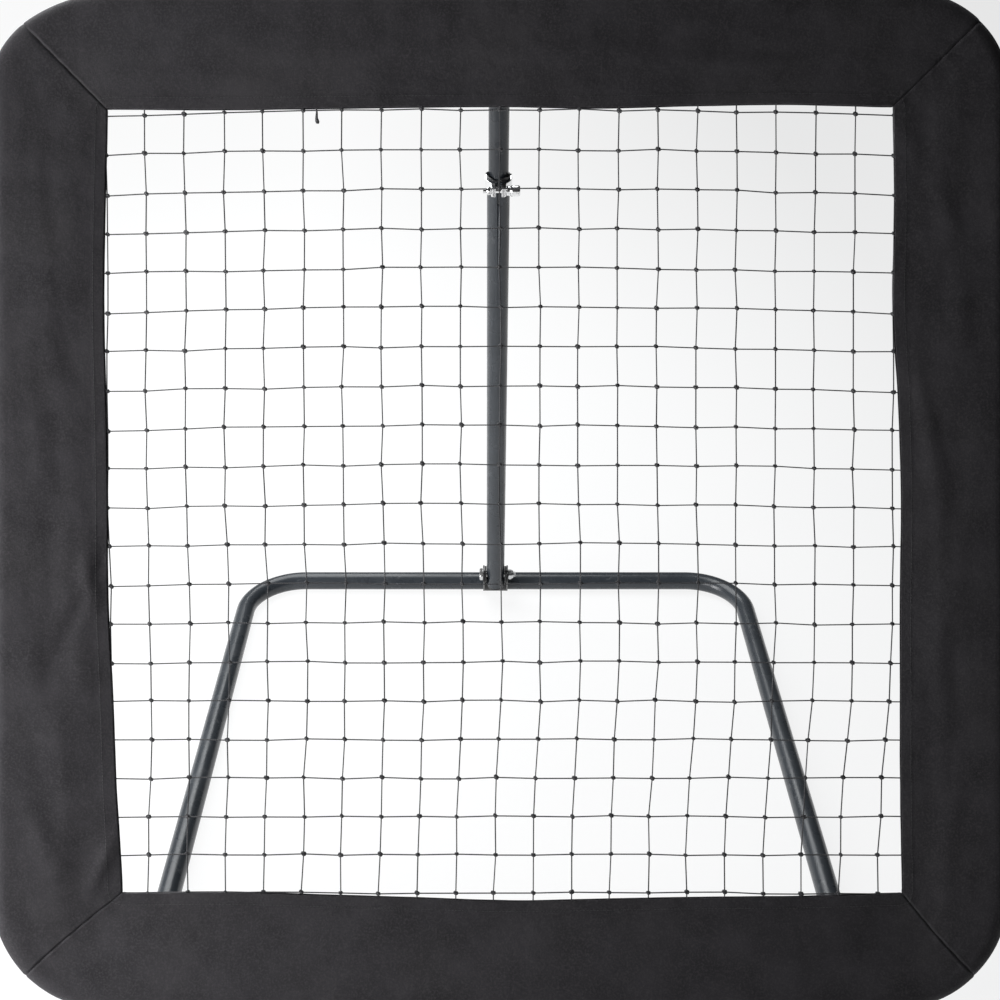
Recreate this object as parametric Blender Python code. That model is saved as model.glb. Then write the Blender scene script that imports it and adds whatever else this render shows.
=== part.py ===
"""Rebounder net: a square tube frame with a knotted net in a fabric cover, held up by a U-shaped
floor stand and a telescopic strut. Metres, +Z up, the net faces -Y and leans back towards +Y."""

import math

import bmesh
import bpy
from mathutils import Matrix, Vector

# Overall sizes
FRAME_SIZE = 1.000  # square frame, measured over its cover
CORNER_RADIUS = 0.118  # outer corner of the cover
COVER_BAND = 0.111  # from the cover's outer edge to the window
LEAN = math.radians(30)  # from upright, as it stands
STAND_DEPTH = 0.730  # hinge axis to the middle of the crossbar
STAND_BEND = 0.078  # to the middle of the bent tube

# Tubes
TUBE_OD = 0.0254
TUBE_WALL = 0.0012
LOWER_OD = 0.0254
UPPER_OD = 0.0222
STRUT_WALL = 0.0012
TUBE_SIDES = 20
BEND_STEPS = 6
COVERED_SIDES = 12  # of the tubes inside the cover
COVERED_STEPS = 5

# Clearances and fabric
GAP = 0.0003  # between pieces that touch
COVER_SLACK = 0.0026  # room round the tube for the saddles and ties
COVER_THICKNESS = 0.0016
COVER_MOUTH = 0.0024  # between front and back sheet, at the window
COVER_BELLY = 0.0015
COVER_FAN = 3  # sections from the straight part to the mitre

# Net
NET_GAPS = 16  # each way
NET_HEM = 0.003  # outermost strand behind the cover's edge
TWINE = 0.0016
BORDER_INSET = 0.050  # border rope inside the tube's middle
BORDER_OD = 0.005
TIE_THICKNESS = 0.0016
TIE_WIDTH = 0.005
TIE_CELLS = (-5.5, 1.5, 5.5)  # net cells from the middle, where the strut's bracket is

# Corner joints of the frame
SPIGOT_LENGTH = 0.030

# Hinge of the frame on the legs
HINGE_REACH = 0.040  # behind the bottom tube
LEG_OVERHANG = 0.016  # leg past the hinge bolt
PLATE = 0.0020  # sheet of the brackets
EYE_RADIUS = 0.0110
SADDLE_SPREAD = math.radians(96)  # each way round the tube from the bolt's side
BOLT_OD = 0.0080
BOLT_POINT = 0.38  # radius of the thread's tip, in bolt diameters
POINT_LENGTH = 0.125  # of the tip's chamfer, in bolt diameters
HEAD_HEIGHT = 0.0050
HEAD_ACROSS = 0.0150
HEAD_FLATS = 0.8  # height of the hexagon's flats, as a share of the head's
HEAD_CROWN = 0.44  # radius of the head's flat end, as a share of its width
NUT_ACROSS = 0.87  # as a share of the bolt head's width
NUT_HEIGHT = 0.0075
NUT_FLATS = 0.7  # height of the hexagon's flats, as a share of the nut's
NUT_COLLAR = 0.42  # radius of the nut's collar, as a share of its width
THREAD_PROUD = 0.0030
HINGE_SPACER = 0.0016
HINGE_SPACER_OD = 0.0200
HINGE_FROM_BEND = 0.0071  # bracket's outer face to the start of the frame's corner bend

# Strut and its pivots
PIVOT_AHEAD = 0.030  # lower pivot, in front of the crossbar's middle
PIVOT_ABOVE = 0.031
TOP_PIVOT_BEHIND = 0.038  # upper pivot, behind the top tube's middle
TOP_PIVOT_BELOW = 0.012
STRUT_TAIL = 0.019  # lower tube below its bolt
LOWER_TUBE_TOP = 0.6635  # clamp end of the lower tube, from its bolt
UPPER_TUBE_IN = 0.250  # upper tube inside the lower one
STRUT_SPACER = 0.0026
STRUT_SPACER_OD = 0.0240
FLAT_END = 0.0028  # pressed flat end of the upper tube
FLAT_WIDTH = 0.0290
FLAT_LENGTH = 0.024  # flat part below the top bolt
FLAT_TAPER = 0.030  # from round to flat
FLAT_EDGE = 0.98  # of the plate's thickness at the eye, against the pressed tube's
FLAT_LAP = 0.12  # of the taper that the plate runs into
PRESS_STEPS = ((0.6, 0.35), (0.3, 0.8))  # share of the taper left, and how far it is pressed there
PRESSED_WALL = 0.4  # of the flat end's thickness
STRUT_EYE_RADIUS = 0.0130
TOP_EYE_RADIUS = 0.0090
TOP_BOLT_OD = 0.0060
TOP_HEAD_ACROSS = 0.0105
TOP_SPACER = 0.0050
TOP_SPACER_OD = 0.0190
SLOT_ACROSS = 0.0170  # the open pivot's room across the strut
SLOT_ALONG = 0.0110  # and along it

# Clamp
CLAMP_HEIGHT = 0.0115
CLAMP_SHEET = 0.0020
CLAMP_LUG = 0.0076  # lug past the band
CLAMP_LUG_SHEET = 0.0050
CLAMP_MOUTH = 0.0066
CLAMP_BELOW = 0.00625  # band's middle below the tube's mouth
CLAMP_BOLT_OD = 0.0050
CLAMP_NUT_ACROSS = 0.0085
CLAMP_NUT_HEIGHT = 0.0045
CLAMP_THREAD = 0.0040  # past the nut
CLAMP_WASHER = 0.0038
CLAMP_WASHER_OD = 0.0110
KNOB_OD = 0.0120
KNOB_LENGTH = 0.0110
KNOB_RIM = 0.0012
SLIT_WIDTH = 0.0030
SLIT_LENGTH = 0.030
SLIT_FROM_AXIS = 0.003  # the slit cuts the front wall alone
BUSHING_HEIGHT = 0.0095
BUSHING_SEAT = 0.0020
BUSHING_FLARE = 0.0024
BUSHING_RIM = 0.0012  # width of the ears' flat top
BUSHING_WALL = 0.0020  # of the ears
BUSHING_GAP = 0.0075  # half of the space between the ears

# Plastic plugs
PLUG_STEM = 0.008
PLUG_HEAD = 0.003
PLUG_POINT = 0.9  # of the stem's radius, at its lead-in
PLUG_LEAD = 0.2  # of the stem's length
PLUG_CROWN = 0.8  # of the head's radius, at its flat top
PLUG_SIDE = 0.5  # of the head's height

# Cuts
CUT_PAST = 0.005  # how far a cut runs on past what it cuts
CUT_BEHIND_NET = 0.002
LAP = 0.125  # overlap of two joined solids, in sheet thicknesses

# Finishes: colour, roughness and metallic
WHITE = (0.8, 0.8, 0.8)
STEEL_PAINT = ((0.050, 0.056, 0.062), 0.38, 0.2)
BLACK_PAINT = ((0.016, 0.016, 0.018), 0.45, 0.2)
BLACK_PLASTIC = ((0.012, 0.012, 0.013), 0.55)
FABRIC = ((0.020, 0.019, 0.021), 0.85)
TWINE_BLACK = ((0.022, 0.022, 0.024), 0.8)
CHROME = ((0.80, 0.80, 0.81), 0.12, 1.0)
ZINC = ((0.60, 0.61, 0.63), 0.30, 1.0)

# Derived places
TUBE_R = TUBE_OD / 2
COVER_INNER_R = TUBE_R + COVER_SLACK
COVER_R = COVER_INNER_R + COVER_THICKNESS
HALF = FRAME_SIZE / 2 - COVER_R  # middle of a frame tube from the frame's middle
BEND_RADIUS = CORNER_RADIUS - COVER_R
ARC_HALF = HALF - BEND_RADIUS  # middle of a corner's arc from the frame's middle
WINDOW_HALF = FRAME_SIZE / 2 - COVER_BAND
NET_HALF = WINDOW_HALF + NET_HEM
NET_PITCH = 2 * NET_HALF / NET_GAPS
BORDER_HALF = HALF - BORDER_INSET
BORDER_CORNER = BORDER_HALF - NET_HALF - TWINE
HINGE_EAR_GAP = TUBE_OD + 2 * (HINGE_SPACER + 2 * GAP)
STAND_WIDTH = 2 * (ARC_HALF - HINGE_FROM_BEND - PLATE - HINGE_EAR_GAP / 2)  # between the legs' middles
LEVEL = TUBE_R * math.cos(math.pi / TUBE_SIDES)  # the stand's tube lies on one of its flat sides
FRONT_Y = -HINGE_REACH * math.cos(LEAN) - COVER_R
BACK_Y = STAND_DEPTH + TUBE_R
HINGE_Y = -(FRONT_Y + BACK_Y) / 2
HINGE = Vector((0, HINGE_Y, LEVEL))
LOWER_PIVOT = HINGE + Vector((0, STAND_DEPTH - PIVOT_AHEAD, PIVOT_ABOVE))
FRAME_TURN = Matrix.Translation(HINGE) @ Matrix.Rotation(-LEAN, 4, "X")
BOTTOM_MIDDLE = Vector((0, -HINGE_REACH, 0))
FRAME_MIDDLE = Vector((0, -HINGE_REACH, HALF))
TOP_MIDDLE = Vector((0, -HINGE_REACH, 2 * HALF))
TOP_PIVOT = TOP_MIDDLE + Vector((0, TOP_PIVOT_BEHIND, -TOP_PIVOT_BELOW))
STRUT_AXIS = FRAME_TURN @ TOP_PIVOT - LOWER_PIVOT
STRUT_LENGTH = STRUT_AXIS.length
STRUT_LEAN = math.atan2(-STRUT_AXIS.y, STRUT_AXIS.z)
STRUT_EAR_GAP = LOWER_OD + 2 * (STRUT_SPACER + 2 * GAP)
TOP_EAR_GAP = FLAT_END + 2 * (TOP_SPACER + 2 * GAP)
CLAMP_BOLT_AHEAD = LOWER_OD / 2 + GAP + CLAMP_SHEET + CLAMP_LUG / 2


def clear_scene():
    for thing in list(bpy.data.objects):
        bpy.data.objects.remove(thing, do_unlink=True)


def material(name, colour, roughness, metallic=0.0):
    made = bpy.data.materials.new(name)
    made.use_nodes = True
    shader = made.node_tree.nodes["Principled BSDF"]
    shader.inputs["Base Color"].default_value = (*colour, 1)
    shader.inputs["Roughness"].default_value = roughness
    shader.inputs["Metallic"].default_value = metallic
    return made


def empty(name, place, turn, parent=None):
    made = bpy.data.objects.new(name, None)
    made.location = place
    made.rotation_euler.x = turn
    made.parent = parent
    bpy.context.collection.objects.link(made)
    return made


def piece(name, shape, finish, parent=None, place=(0, 0, 0), turn=(0, 0, 0)):
    """An object from a bmesh: its normals face out, and its round sides are shaded smooth."""
    bmesh.ops.recalc_face_normals(shape, faces=shape.faces)
    mesh = bpy.data.meshes.new(name)
    shape.to_mesh(mesh)
    shape.free()
    mesh.shade_smooth()
    mesh.set_sharp_from_angle(angle=math.radians(32))
    mesh.materials.append(material(name, *finish))
    made = bpy.data.objects.new(name, mesh)
    made.parent = parent
    made.location = place
    made.rotation_euler = turn
    bpy.context.collection.objects.link(made)
    return made


def guide(name, shape, parent=None, place=(0, 0, 0), turn=(0, 0, 0)):
    """A solid that only cuts or joins another."""
    made = piece(name, shape, (WHITE, 0.5), parent, place, turn)
    made.hide_render = True
    made.display_type = "WIRE"
    return made


def combine(target, other, operation):
    step = target.modifiers.new(other.name, "BOOLEAN")
    step.operation = operation
    step.solver = "EXACT"
    step.object = other


def loft(rings, closed_path=False, bores=None):
    """A solid through rings of points. With bores, inner rings of the same count make it hollow."""
    shape = bmesh.new()
    outer = [[shape.verts.new(point) for point in ring] for ring in rings]
    inner = [[shape.verts.new(point) for point in ring] for ring in bores or []]
    spans = len(rings) if closed_path else len(rings) - 1
    for skin in (outer, inner):
        if not skin:
            continue
        for i in range(spans):
            near, far = skin[i], skin[(i + 1) % len(skin)]
            for j in range(len(near)):
                k = (j + 1) % len(near)
                shape.faces.new((near[j], near[k], far[k], far[j]))
    if closed_path:
        return shape
    for end in (0, -1):
        if not inner:
            shape.faces.new(outer[end])
            continue
        for j in range(len(outer[end])):
            k = (j + 1) % len(outer[end])
            shape.faces.new((outer[end][j], outer[end][k], inner[end][k], inner[end][j]))
    return shape


def circle(radius, sides, middle=(0.0, 0.0), start=0.5):
    """Points of a circle. start=0.5 lays a flat side, not a corner, on each axis."""
    turns = [2 * math.pi / sides * (i + start) for i in range(sides)]
    return [(middle[0] + radius * math.cos(turn), middle[1] + radius * math.sin(turn)) for turn in turns]


def hexagon(across):
    """Twelve points of a hexagon, so that it lofts into a round of twelve sides."""
    corner = across / 2 / math.cos(math.pi / 6)
    return [
        (
            (corner if i % 2 == 0 else across / 2) * math.cos(math.pi * i / 6),
            (corner if i % 2 == 0 else across / 2) * math.sin(math.pi * i / 6),
        )
        for i in range(12)
    ]


def round_twelve(radius):
    return circle(radius, 12, start=0)


def along_x(outline, x):
    return [Vector((x, a, b)) for a, b in outline]


def along_z(outline, z):
    return [Vector((a, b, z)) for a, b in outline]


def rod(radius, start, end, sides=12, lay=along_x):
    return loft([lay(circle(radius, sides), start), lay(circle(radius, sides), end)])


def ring(outer, inner, start, end, lay=along_x):
    """A flat ring between two lists of points."""
    return loft([lay(outer, start), lay(outer, end)], bores=[lay(inner, start), lay(inner, end)])


def block(low, high):
    flat = [(low[0], low[1]), (high[0], low[1]), (high[0], high[1]), (low[0], high[1])]
    return loft([along_z(flat, low[2]), along_z(flat, high[2])])


def arc_points(middle, radius, start, end, steps):
    return [
        (
            middle[0] + radius * math.cos(start + (end - start) * i / steps),
            middle[1] + radius * math.sin(start + (end - start) * i / steps),
        )
        for i in range(steps + 1)
    ]


def swept(path, normal, section):
    """Rings of one section along a flat path: the section's second axis is the path's normal."""
    rings = []
    for i, point in enumerate(path):
        back = path[max(i - 1, 0)]
        ahead = path[min(i + 1, len(path) - 1)]
        tangent = (ahead - back).normalized()
        across = tangent.cross(normal)
        rings.append([point + across * a + normal * b for a, b in section])
    return rings


def bent_tube(path, normal, radius, wall, sides=TUBE_SIDES):
    outer = swept(path, normal, circle(radius, sides))
    inner = swept(path, normal, circle(radius - wall, sides))
    return loft(outer, bores=inner)


def saddle_bracket(name, finish, parent, middle, reach, ear_gap, eye_radius, hole_radius):
    """A pressed bracket: a half-round saddle on a tube along X, with two ears that hold a bolt."""
    seat = TUBE_R + GAP
    back = seat + PLATE
    length = math.hypot(*reach)
    heading = math.atan2(reach[1], reach[0])
    tangent = math.acos((back - eye_radius) / length)
    outline = arc_points((0, 0), back, heading + SADDLE_SPREAD, heading + tangent, 3)
    outline += arc_points(reach, eye_radius, heading + tangent, heading - tangent, 8)
    outline += arc_points((0, 0), back, heading - tangent, heading - SADDLE_SPREAD, 3)
    outline += arc_points((0, 0), seat, heading - SADDLE_SPREAD, heading + SADDLE_SPREAD, 10)
    inside = ear_gap / 2
    outside = inside + PLATE
    near_ear = loft([along_x(outline, inside), along_x(outline, outside)])
    far_ear = loft([along_x(outline, -outside), along_x(outline, -inside)])
    made = piece(name, near_ear, finish, parent, middle)
    other = guide(name + "_ear", far_ear, parent, middle)
    lap = PLATE * LAP
    spread = SADDLE_SPREAD - lap / back
    web = arc_points((0, 0), back - lap, heading + spread, heading - spread, 10)
    web += arc_points((0, 0), seat + lap, heading - spread, heading + spread, 10)
    joint = inside + PLATE / 2
    joining = guide(name + "_web", loft([along_x(web, -joint), along_x(web, joint)]), parent, middle)
    hole = rod(hole_radius, -outside - PLATE, outside + PLATE)
    drill = guide(name + "_drill", hole, parent, Vector(middle) + Vector((0, *reach)))
    combine(made, joining, "UNION")
    combine(made, other, "UNION")
    combine(made, drill, "DIFFERENCE")
    return made


def hex_bolt(bolt_od, grip, head_across, head_height, tail):
    """A bolt along X: its head starts at -grip/2, its thread ends past +grip/2."""
    left = -grip / 2 - GAP
    rings = [
        along_x(round_twelve(head_across * HEAD_CROWN), left - head_height),
        along_x(hexagon(head_across), left - head_height * HEAD_FLATS),
        along_x(hexagon(head_across), left),
        along_x(round_twelve(bolt_od / 2), left),
        along_x(round_twelve(bolt_od / 2), grip / 2 + tail - bolt_od * POINT_LENGTH),
        along_x(round_twelve(bolt_od * BOLT_POINT), grip / 2 + tail),
    ]
    return loft(rings)


def lock_nut(bolt_od, across, height, start):
    """A nut along X with a round collar on its far side."""
    bore = round_twelve(bolt_od / 2 + GAP)
    outer = [
        along_x(hexagon(across), start),
        along_x(hexagon(across), start + height * NUT_FLATS),
        along_x(round_twelve(across * NUT_COLLAR), start + height),
    ]
    return loft(outer, bores=[along_x(bore, points[0].x) for points in outer])


def make_stand():
    """One tube bent to a U: the legs lie on the floor, and the crossbar lies behind."""
    half = STAND_WIDTH / 2
    level = HINGE.copy()
    corner = (half - STAND_BEND, STAND_DEPTH - STAND_BEND)
    right = [(half, -LEG_OVERHANG)] + arc_points(corner, STAND_BEND, 0, math.pi / 2, BEND_STEPS)
    flat = right + [(-x, y) for x, y in reversed(right)]
    path = [level + Vector((x, y, 0)) for x, y in flat]
    tube = piece("stand_tube", bent_tube(path, Vector((0, 0, 1)), TUBE_R, TUBE_WALL), STEEL_PAINT)
    for side in (-1, 1):
        hole = rod(BOLT_OD / 2 + GAP, -TUBE_OD, TUBE_OD)
        combine(tube, guide("leg_drill", hole, place=level + Vector((side * half, 0, 0))), "DIFFERENCE")
        make_plug(
            "stand_end_cap_" + ("left" if side < 0 else "right"),
            TUBE_OD,
            TUBE_WALL,
            place=level + Vector((side * half, -LEG_OVERHANG, 0)),
            turn=(math.pi / 2, 0, 0),
        )
    crossbar = level + Vector((0, STAND_DEPTH, 0))
    reach = (-PIVOT_AHEAD, PIVOT_ABOVE)
    hole = BOLT_OD / 2 + GAP
    saddle_bracket(
        "strut_bracket", BLACK_PAINT, None, crossbar, reach, STRUT_EAR_GAP, STRUT_EYE_RADIUS, hole
    )
    grip = STRUT_EAR_GAP + 2 * PLATE
    make_pivot("strut_pivot", None, LOWER_PIVOT, BOLT_OD, grip)
    for side in (-1, 1):
        make_spacer(
            "strut_spacer_" + ("left" if side < 0 else "right"),
            None,
            LOWER_PIVOT,
            side * (LOWER_OD / 2 + GAP),
            side * STRUT_SPACER,
            (STRUT_SPACER_OD, BOLT_OD),
        )


def make_plug(name, tube_od, wall, parent=None, place=(0, 0, 0), turn=(0, 0, 0)):
    """A plastic plug: its stem fills the bore, and its domed head covers the tube's cut end."""
    stem = tube_od / 2 - wall - GAP
    rings = [
        along_z(circle(stem * PLUG_POINT, TUBE_SIDES), -PLUG_STEM),
        along_z(circle(stem, TUBE_SIDES), -PLUG_STEM * (1 - PLUG_LEAD)),
        along_z(circle(stem, TUBE_SIDES), GAP),
        along_z(circle(tube_od / 2, TUBE_SIDES), GAP),
        along_z(circle(tube_od / 2, TUBE_SIDES), GAP + PLUG_HEAD * PLUG_SIDE),
        along_z(circle(tube_od / 2 * PLUG_CROWN, TUBE_SIDES), GAP + PLUG_HEAD),
    ]
    return piece(name, loft(rings), BLACK_PLASTIC, parent, place, turn)


def make_spacer(name, parent, middle, start, thickness, sizes):
    outer = circle(sizes[0] / 2, 14)
    bore = circle(sizes[1] / 2 + GAP, 14)
    low, high = sorted((start, start + thickness))
    return piece(name, ring(outer, bore, low, high), BLACK_PLASTIC, parent, middle)


def make_pivot(name, parent, middle, bolt_od, grip, across=HEAD_ACROSS):
    """A bolt through a bracket's ears, and the locking nut on its far end."""
    tail = GAP + NUT_HEIGHT + THREAD_PROUD
    piece(name + "_bolt", hex_bolt(bolt_od, grip, across, HEAD_HEIGHT, tail), ZINC, parent, middle)
    nut = lock_nut(bolt_od, across * NUT_ACROSS, NUT_HEIGHT, grip / 2 + GAP)
    piece(name + "_nut", nut, ZINC, parent, middle)


def side_turn(side):
    """Turns what is made for the top side to the top, right, bottom or left of the frame."""
    return (0, side * math.pi / 2, 0)


def make_frame_tubes(pivot):
    """Four straight tubes, and four bends whose narrowed ends push into them."""
    inner = TUBE_R - TUBE_WALL
    for side, name in enumerate(("top", "right", "bottom", "left")):
        path = [Vector((-ARC_HALF + GAP, 0, HALF)), Vector((ARC_HALF - GAP, 0, HALF))]
        tube = bent_tube(path, Vector((0, 1, 0)), TUBE_R, TUBE_WALL, COVERED_SIDES)
        piece("frame_" + name + "_tube", tube, STEEL_PAINT, pivot, FRAME_MIDDLE, side_turn(side))
    spigot = inner - GAP
    bore = spigot - TUBE_WALL
    for side, name in enumerate(("top_right", "bottom_right", "bottom_left", "top_left")):
        bend = arc_points((ARC_HALF, ARC_HALF), BEND_RADIUS, math.pi / 2, 0, COVERED_STEPS)
        start = [(ARC_HALF - SPIGOT_LENGTH, HALF), (ARC_HALF, HALF)]
        flat = start + bend + [(HALF, ARC_HALF), (HALF, ARC_HALF - SPIGOT_LENGTH)]
        radii = [spigot, spigot] + [TUBE_R] * len(bend) + [spigot, spigot]
        turning = [-math.pi / 2 * i / COVERED_STEPS for i in range(len(bend))]
        tangents = [0.0, 0.0] + turning + [-math.pi / 2] * 2
        outer = []
        hollow = []
        for point, radius, heading in zip(flat, radii, tangents):
            middle = Vector((point[0], 0, point[1]))
            across = Vector((-math.sin(heading), 0, math.cos(heading)))
            for rings, size in ((outer, radius), (hollow, bore)):
                section = circle(size, COVERED_SIDES)
                rings.append([middle + across * a + Vector((0, b, 0)) for a, b in section])
        shape = loft(outer, bores=hollow)
        piece("frame_corner_" + name, shape, STEEL_PAINT, pivot, FRAME_MIDDLE, side_turn(side))


def cover_outline(inner_edge):
    """The cover's closed section as (distance from the corner's arc middle, depth) points.

    A sheet lies in front of the net, goes round the tube, and comes back behind the net. The
    first half of the points is its outer face, and the second half its inner face.
    """
    faces = []
    for radius, mouth in ((COVER_R, COVER_MOUTH / 2 + COVER_THICKNESS), (COVER_INNER_R, COVER_MOUTH / 2)):
        slope = math.asin((radius - mouth) / (BEND_RADIUS - inner_edge))
        wrap = arc_points((BEND_RADIUS, 0), radius, -math.pi / 2 - slope, math.pi / 2 + slope, 9)
        first = wrap[0]
        run = []
        for i in range(4):
            t = i / 4
            belly = COVER_BELLY * math.sin(math.pi * t)
            run.append((inner_edge + (first[0] - inner_edge) * t, -mouth + (first[1] + mouth) * t - belly))
        faces.append(run + wrap + [(a, -b) for a, b in reversed(run)])
    return faces[0] + faces[1][::-1]


def make_covers(pivot):
    """Four fabric sides, sewn in mitres. Each goes round its tube to both sides of the net."""
    inset = WINDOW_HALF - ARC_HALF
    made = {}
    for side, name in enumerate(("top", "right", "bottom", "left")):
        rings = []
        stations = [(1, i) for i in range(COVER_FAN, -1, -1)] + [(-1, i) for i in range(COVER_FAN + 1)]
        for hand, step in stations:
            turn = math.pi / 4 * step / COVER_FAN
            outward = Vector((-hand * math.sin(turn), 0, math.cos(turn)))
            seam = Vector((hand * math.cos(turn), 0, math.sin(turn))) * (GAP / 2 if step == COVER_FAN else 0)
            start = Vector((-hand * ARC_HALF, 0, ARC_HALF)) + seam
            outline = cover_outline(inset / math.cos(turn))
            rings.append([start + outward * a + Vector((0, b, 0)) for a, b in outline])
        shape = bmesh.new()
        loops = [[shape.verts.new(point) for point in points] for points in rings]
        count = len(loops[0])
        for near, far in zip(loops, loops[1:]):
            for j in range(count):
                k = (j + 1) % count
                shape.faces.new((near[j], near[k], far[k], far[j]))
        for end in (loops[0], loops[-1]):
            for j in range(count // 2 - 1):
                shape.faces.new((end[j], end[j + 1], end[count - 2 - j], end[count - 1 - j]))
        made[name] = piece("cover_" + name, shape, FABRIC, pivot, FRAME_MIDDLE, side_turn(side))
    return made


def cut_cover(cover, pivot, middle, ear_gap, reach):
    """The opening at the back of a cover, through which a bracket's ears come out."""
    wide = ear_gap / 2 + PLATE + 2 * GAP
    tall = TUBE_R + GAP + PLATE + 2 * GAP
    low = min(0, reach[1]) - tall
    high = max(0, reach[1]) + tall
    hole = block((-wide, CUT_BEHIND_NET, low), (wide, COVER_R + CUT_PAST, high))
    combine(cover, guide(cover.name + "_cut", hole, pivot, middle), "DIFFERENCE")


def make_net(pivot):
    """A flat grid of twine whose ends run on to the border rope."""
    reach = BORDER_HALF - BORDER_OD / 2 - GAP
    edges = [-reach]
    for i in range(NET_GAPS + 1):
        strand = (i - NET_GAPS / 2) * NET_PITCH
        edges += [strand - TWINE / 2, strand + TWINE / 2]
    edges.append(reach)
    cells = len(edges) - 1
    shape = bmesh.new()
    corners = {}

    def corner(i, j, face):
        key = (i, j, face)
        if key not in corners:
            corners[key] = shape.verts.new((edges[i], face * TWINE / 2, edges[j]))
        return corners[key]

    def filled(i, j):
        inside = 0 <= i < cells and 0 <= j < cells
        return inside and (i % 2 == 1 or j % 2 == 1)

    for i in range(cells):
        for j in range(cells):
            if not filled(i, j):
                continue
            for face in (-1, 1):
                shape.faces.new([corner(i + a, j + b, face) for a, b in ((0, 0), (1, 0), (1, 1), (0, 1))])
            for a, b, c, d, beside in (
                (0, 0, 1, 0, (i, j - 1)),
                (1, 0, 1, 1, (i + 1, j)),
                (1, 1, 0, 1, (i, j + 1)),
                (0, 1, 0, 0, (i - 1, j)),
            ):
                if filled(*beside):
                    continue
                near = (corner(i + a, j + b, -1), corner(i + a, j + b, 1))
                far = (corner(i + c, j + d, -1), corner(i + c, j + d, 1))
                shape.faces.new((near[0], near[1], far[1], far[0]))
    piece("net", shape, TWINE_BLACK, pivot, FRAME_MIDDLE)


def make_border(pivot):
    """The rope round the net, and the ties that hold it to the tubes."""
    corner = BORDER_HALF - BORDER_CORNER
    rings = []
    for side in range(4):
        for i in range(5):
            heading = math.pi / 2 * (side + i / 4)
            middle = Matrix.Rotation(-math.pi / 2 * side, 3, "Y") @ Vector((corner, 0, corner))
            outward = Vector((math.cos(heading), 0, math.sin(heading)))
            section = circle(BORDER_OD / 2, 6)
            rings.append([middle + outward * (BORDER_CORNER + a) + Vector((0, b, 0)) for a, b in section])
    piece("border_rope", loft(rings, closed_path=True), TWINE_BLACK, pivot, FRAME_MIDDLE)
    number = 0
    for side in range(4):
        for cell in TIE_CELLS:
            number += 1
            make_tie("net_tie_" + str(number), pivot, side, cell * NET_PITCH)


def make_tie(name, pivot, side, along):
    """A strap round the frame tube and the border rope."""
    loops = []
    for grow in (TIE_THICKNESS, 0):
        big = TUBE_R + GAP + grow
        small = BORDER_OD / 2 + GAP + grow
        tangent = math.acos((big - small) / BORDER_INSET)
        outline = arc_points((0, -BORDER_INSET), small, -math.pi / 2 - tangent, -math.pi / 2 + tangent, 3)
        outline += arc_points((0, 0), big, -math.pi / 2 + tangent, 3 * math.pi / 2 - tangent, 8)
        loops.append(outline)
    shape = ring(loops[0], loops[1], along - TIE_WIDTH / 2, along + TIE_WIDTH / 2)
    bmesh.ops.translate(shape, verts=shape.verts, vec=(0, 0, HALF))
    piece(name, shape, BLACK_PLASTIC, pivot, FRAME_MIDDLE, side_turn(side))


def make_hinges(pivot, covers):
    """A bracket on the bottom tube for each leg, which turns on a bolt through the leg's end."""
    for side in (-1, 1):
        hand = "left" if side < 0 else "right"
        place = BOTTOM_MIDDLE + Vector((side * STAND_WIDTH / 2, 0, 0))
        axis = place + Vector((0, HINGE_REACH, 0))
        reach = (HINGE_REACH, 0.0)
        hole = BOLT_OD / 2 + GAP
        saddle_bracket(
            "hinge_bracket_" + hand, BLACK_PAINT, pivot, place, reach, HINGE_EAR_GAP, EYE_RADIUS, hole
        )
        cut_cover(covers["bottom"], pivot, place, HINGE_EAR_GAP, reach)
        make_pivot("hinge_" + hand, pivot, axis, BOLT_OD, HINGE_EAR_GAP + 2 * PLATE)
        for spacer, start in (("outer", 1), ("inner", -1)):
            make_spacer(
                "hinge_spacer_" + hand + "_" + spacer,
                pivot,
                axis,
                side * start * (TUBE_R + GAP),
                side * start * HINGE_SPACER,
                (HINGE_SPACER_OD, BOLT_OD),
            )


def make_top_mount(pivot, covers):
    """The bracket behind the top tube that carries the strut's flat end."""
    reach = (TOP_PIVOT_BEHIND, -TOP_PIVOT_BELOW)
    hole = TOP_BOLT_OD / 2 + GAP
    saddle_bracket(
        "strut_top_bracket", BLACK_PAINT, pivot, TOP_MIDDLE, reach, TOP_EAR_GAP, TOP_EYE_RADIUS, hole
    )
    cut_cover(covers["top"], pivot, TOP_MIDDLE, TOP_EAR_GAP, reach)
    make_pivot("strut_top", pivot, TOP_PIVOT, TOP_BOLT_OD, TOP_EAR_GAP + 2 * PLATE, TOP_HEAD_ACROSS)
    for side in (-1, 1):
        make_spacer(
            "strut_top_spacer_" + ("left" if side < 0 else "right"),
            pivot,
            TOP_PIVOT,
            side * (FLAT_END / 2 + GAP),
            side * TOP_SPACER,
            (TOP_SPACER_OD, TOP_BOLT_OD),
        )


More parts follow.
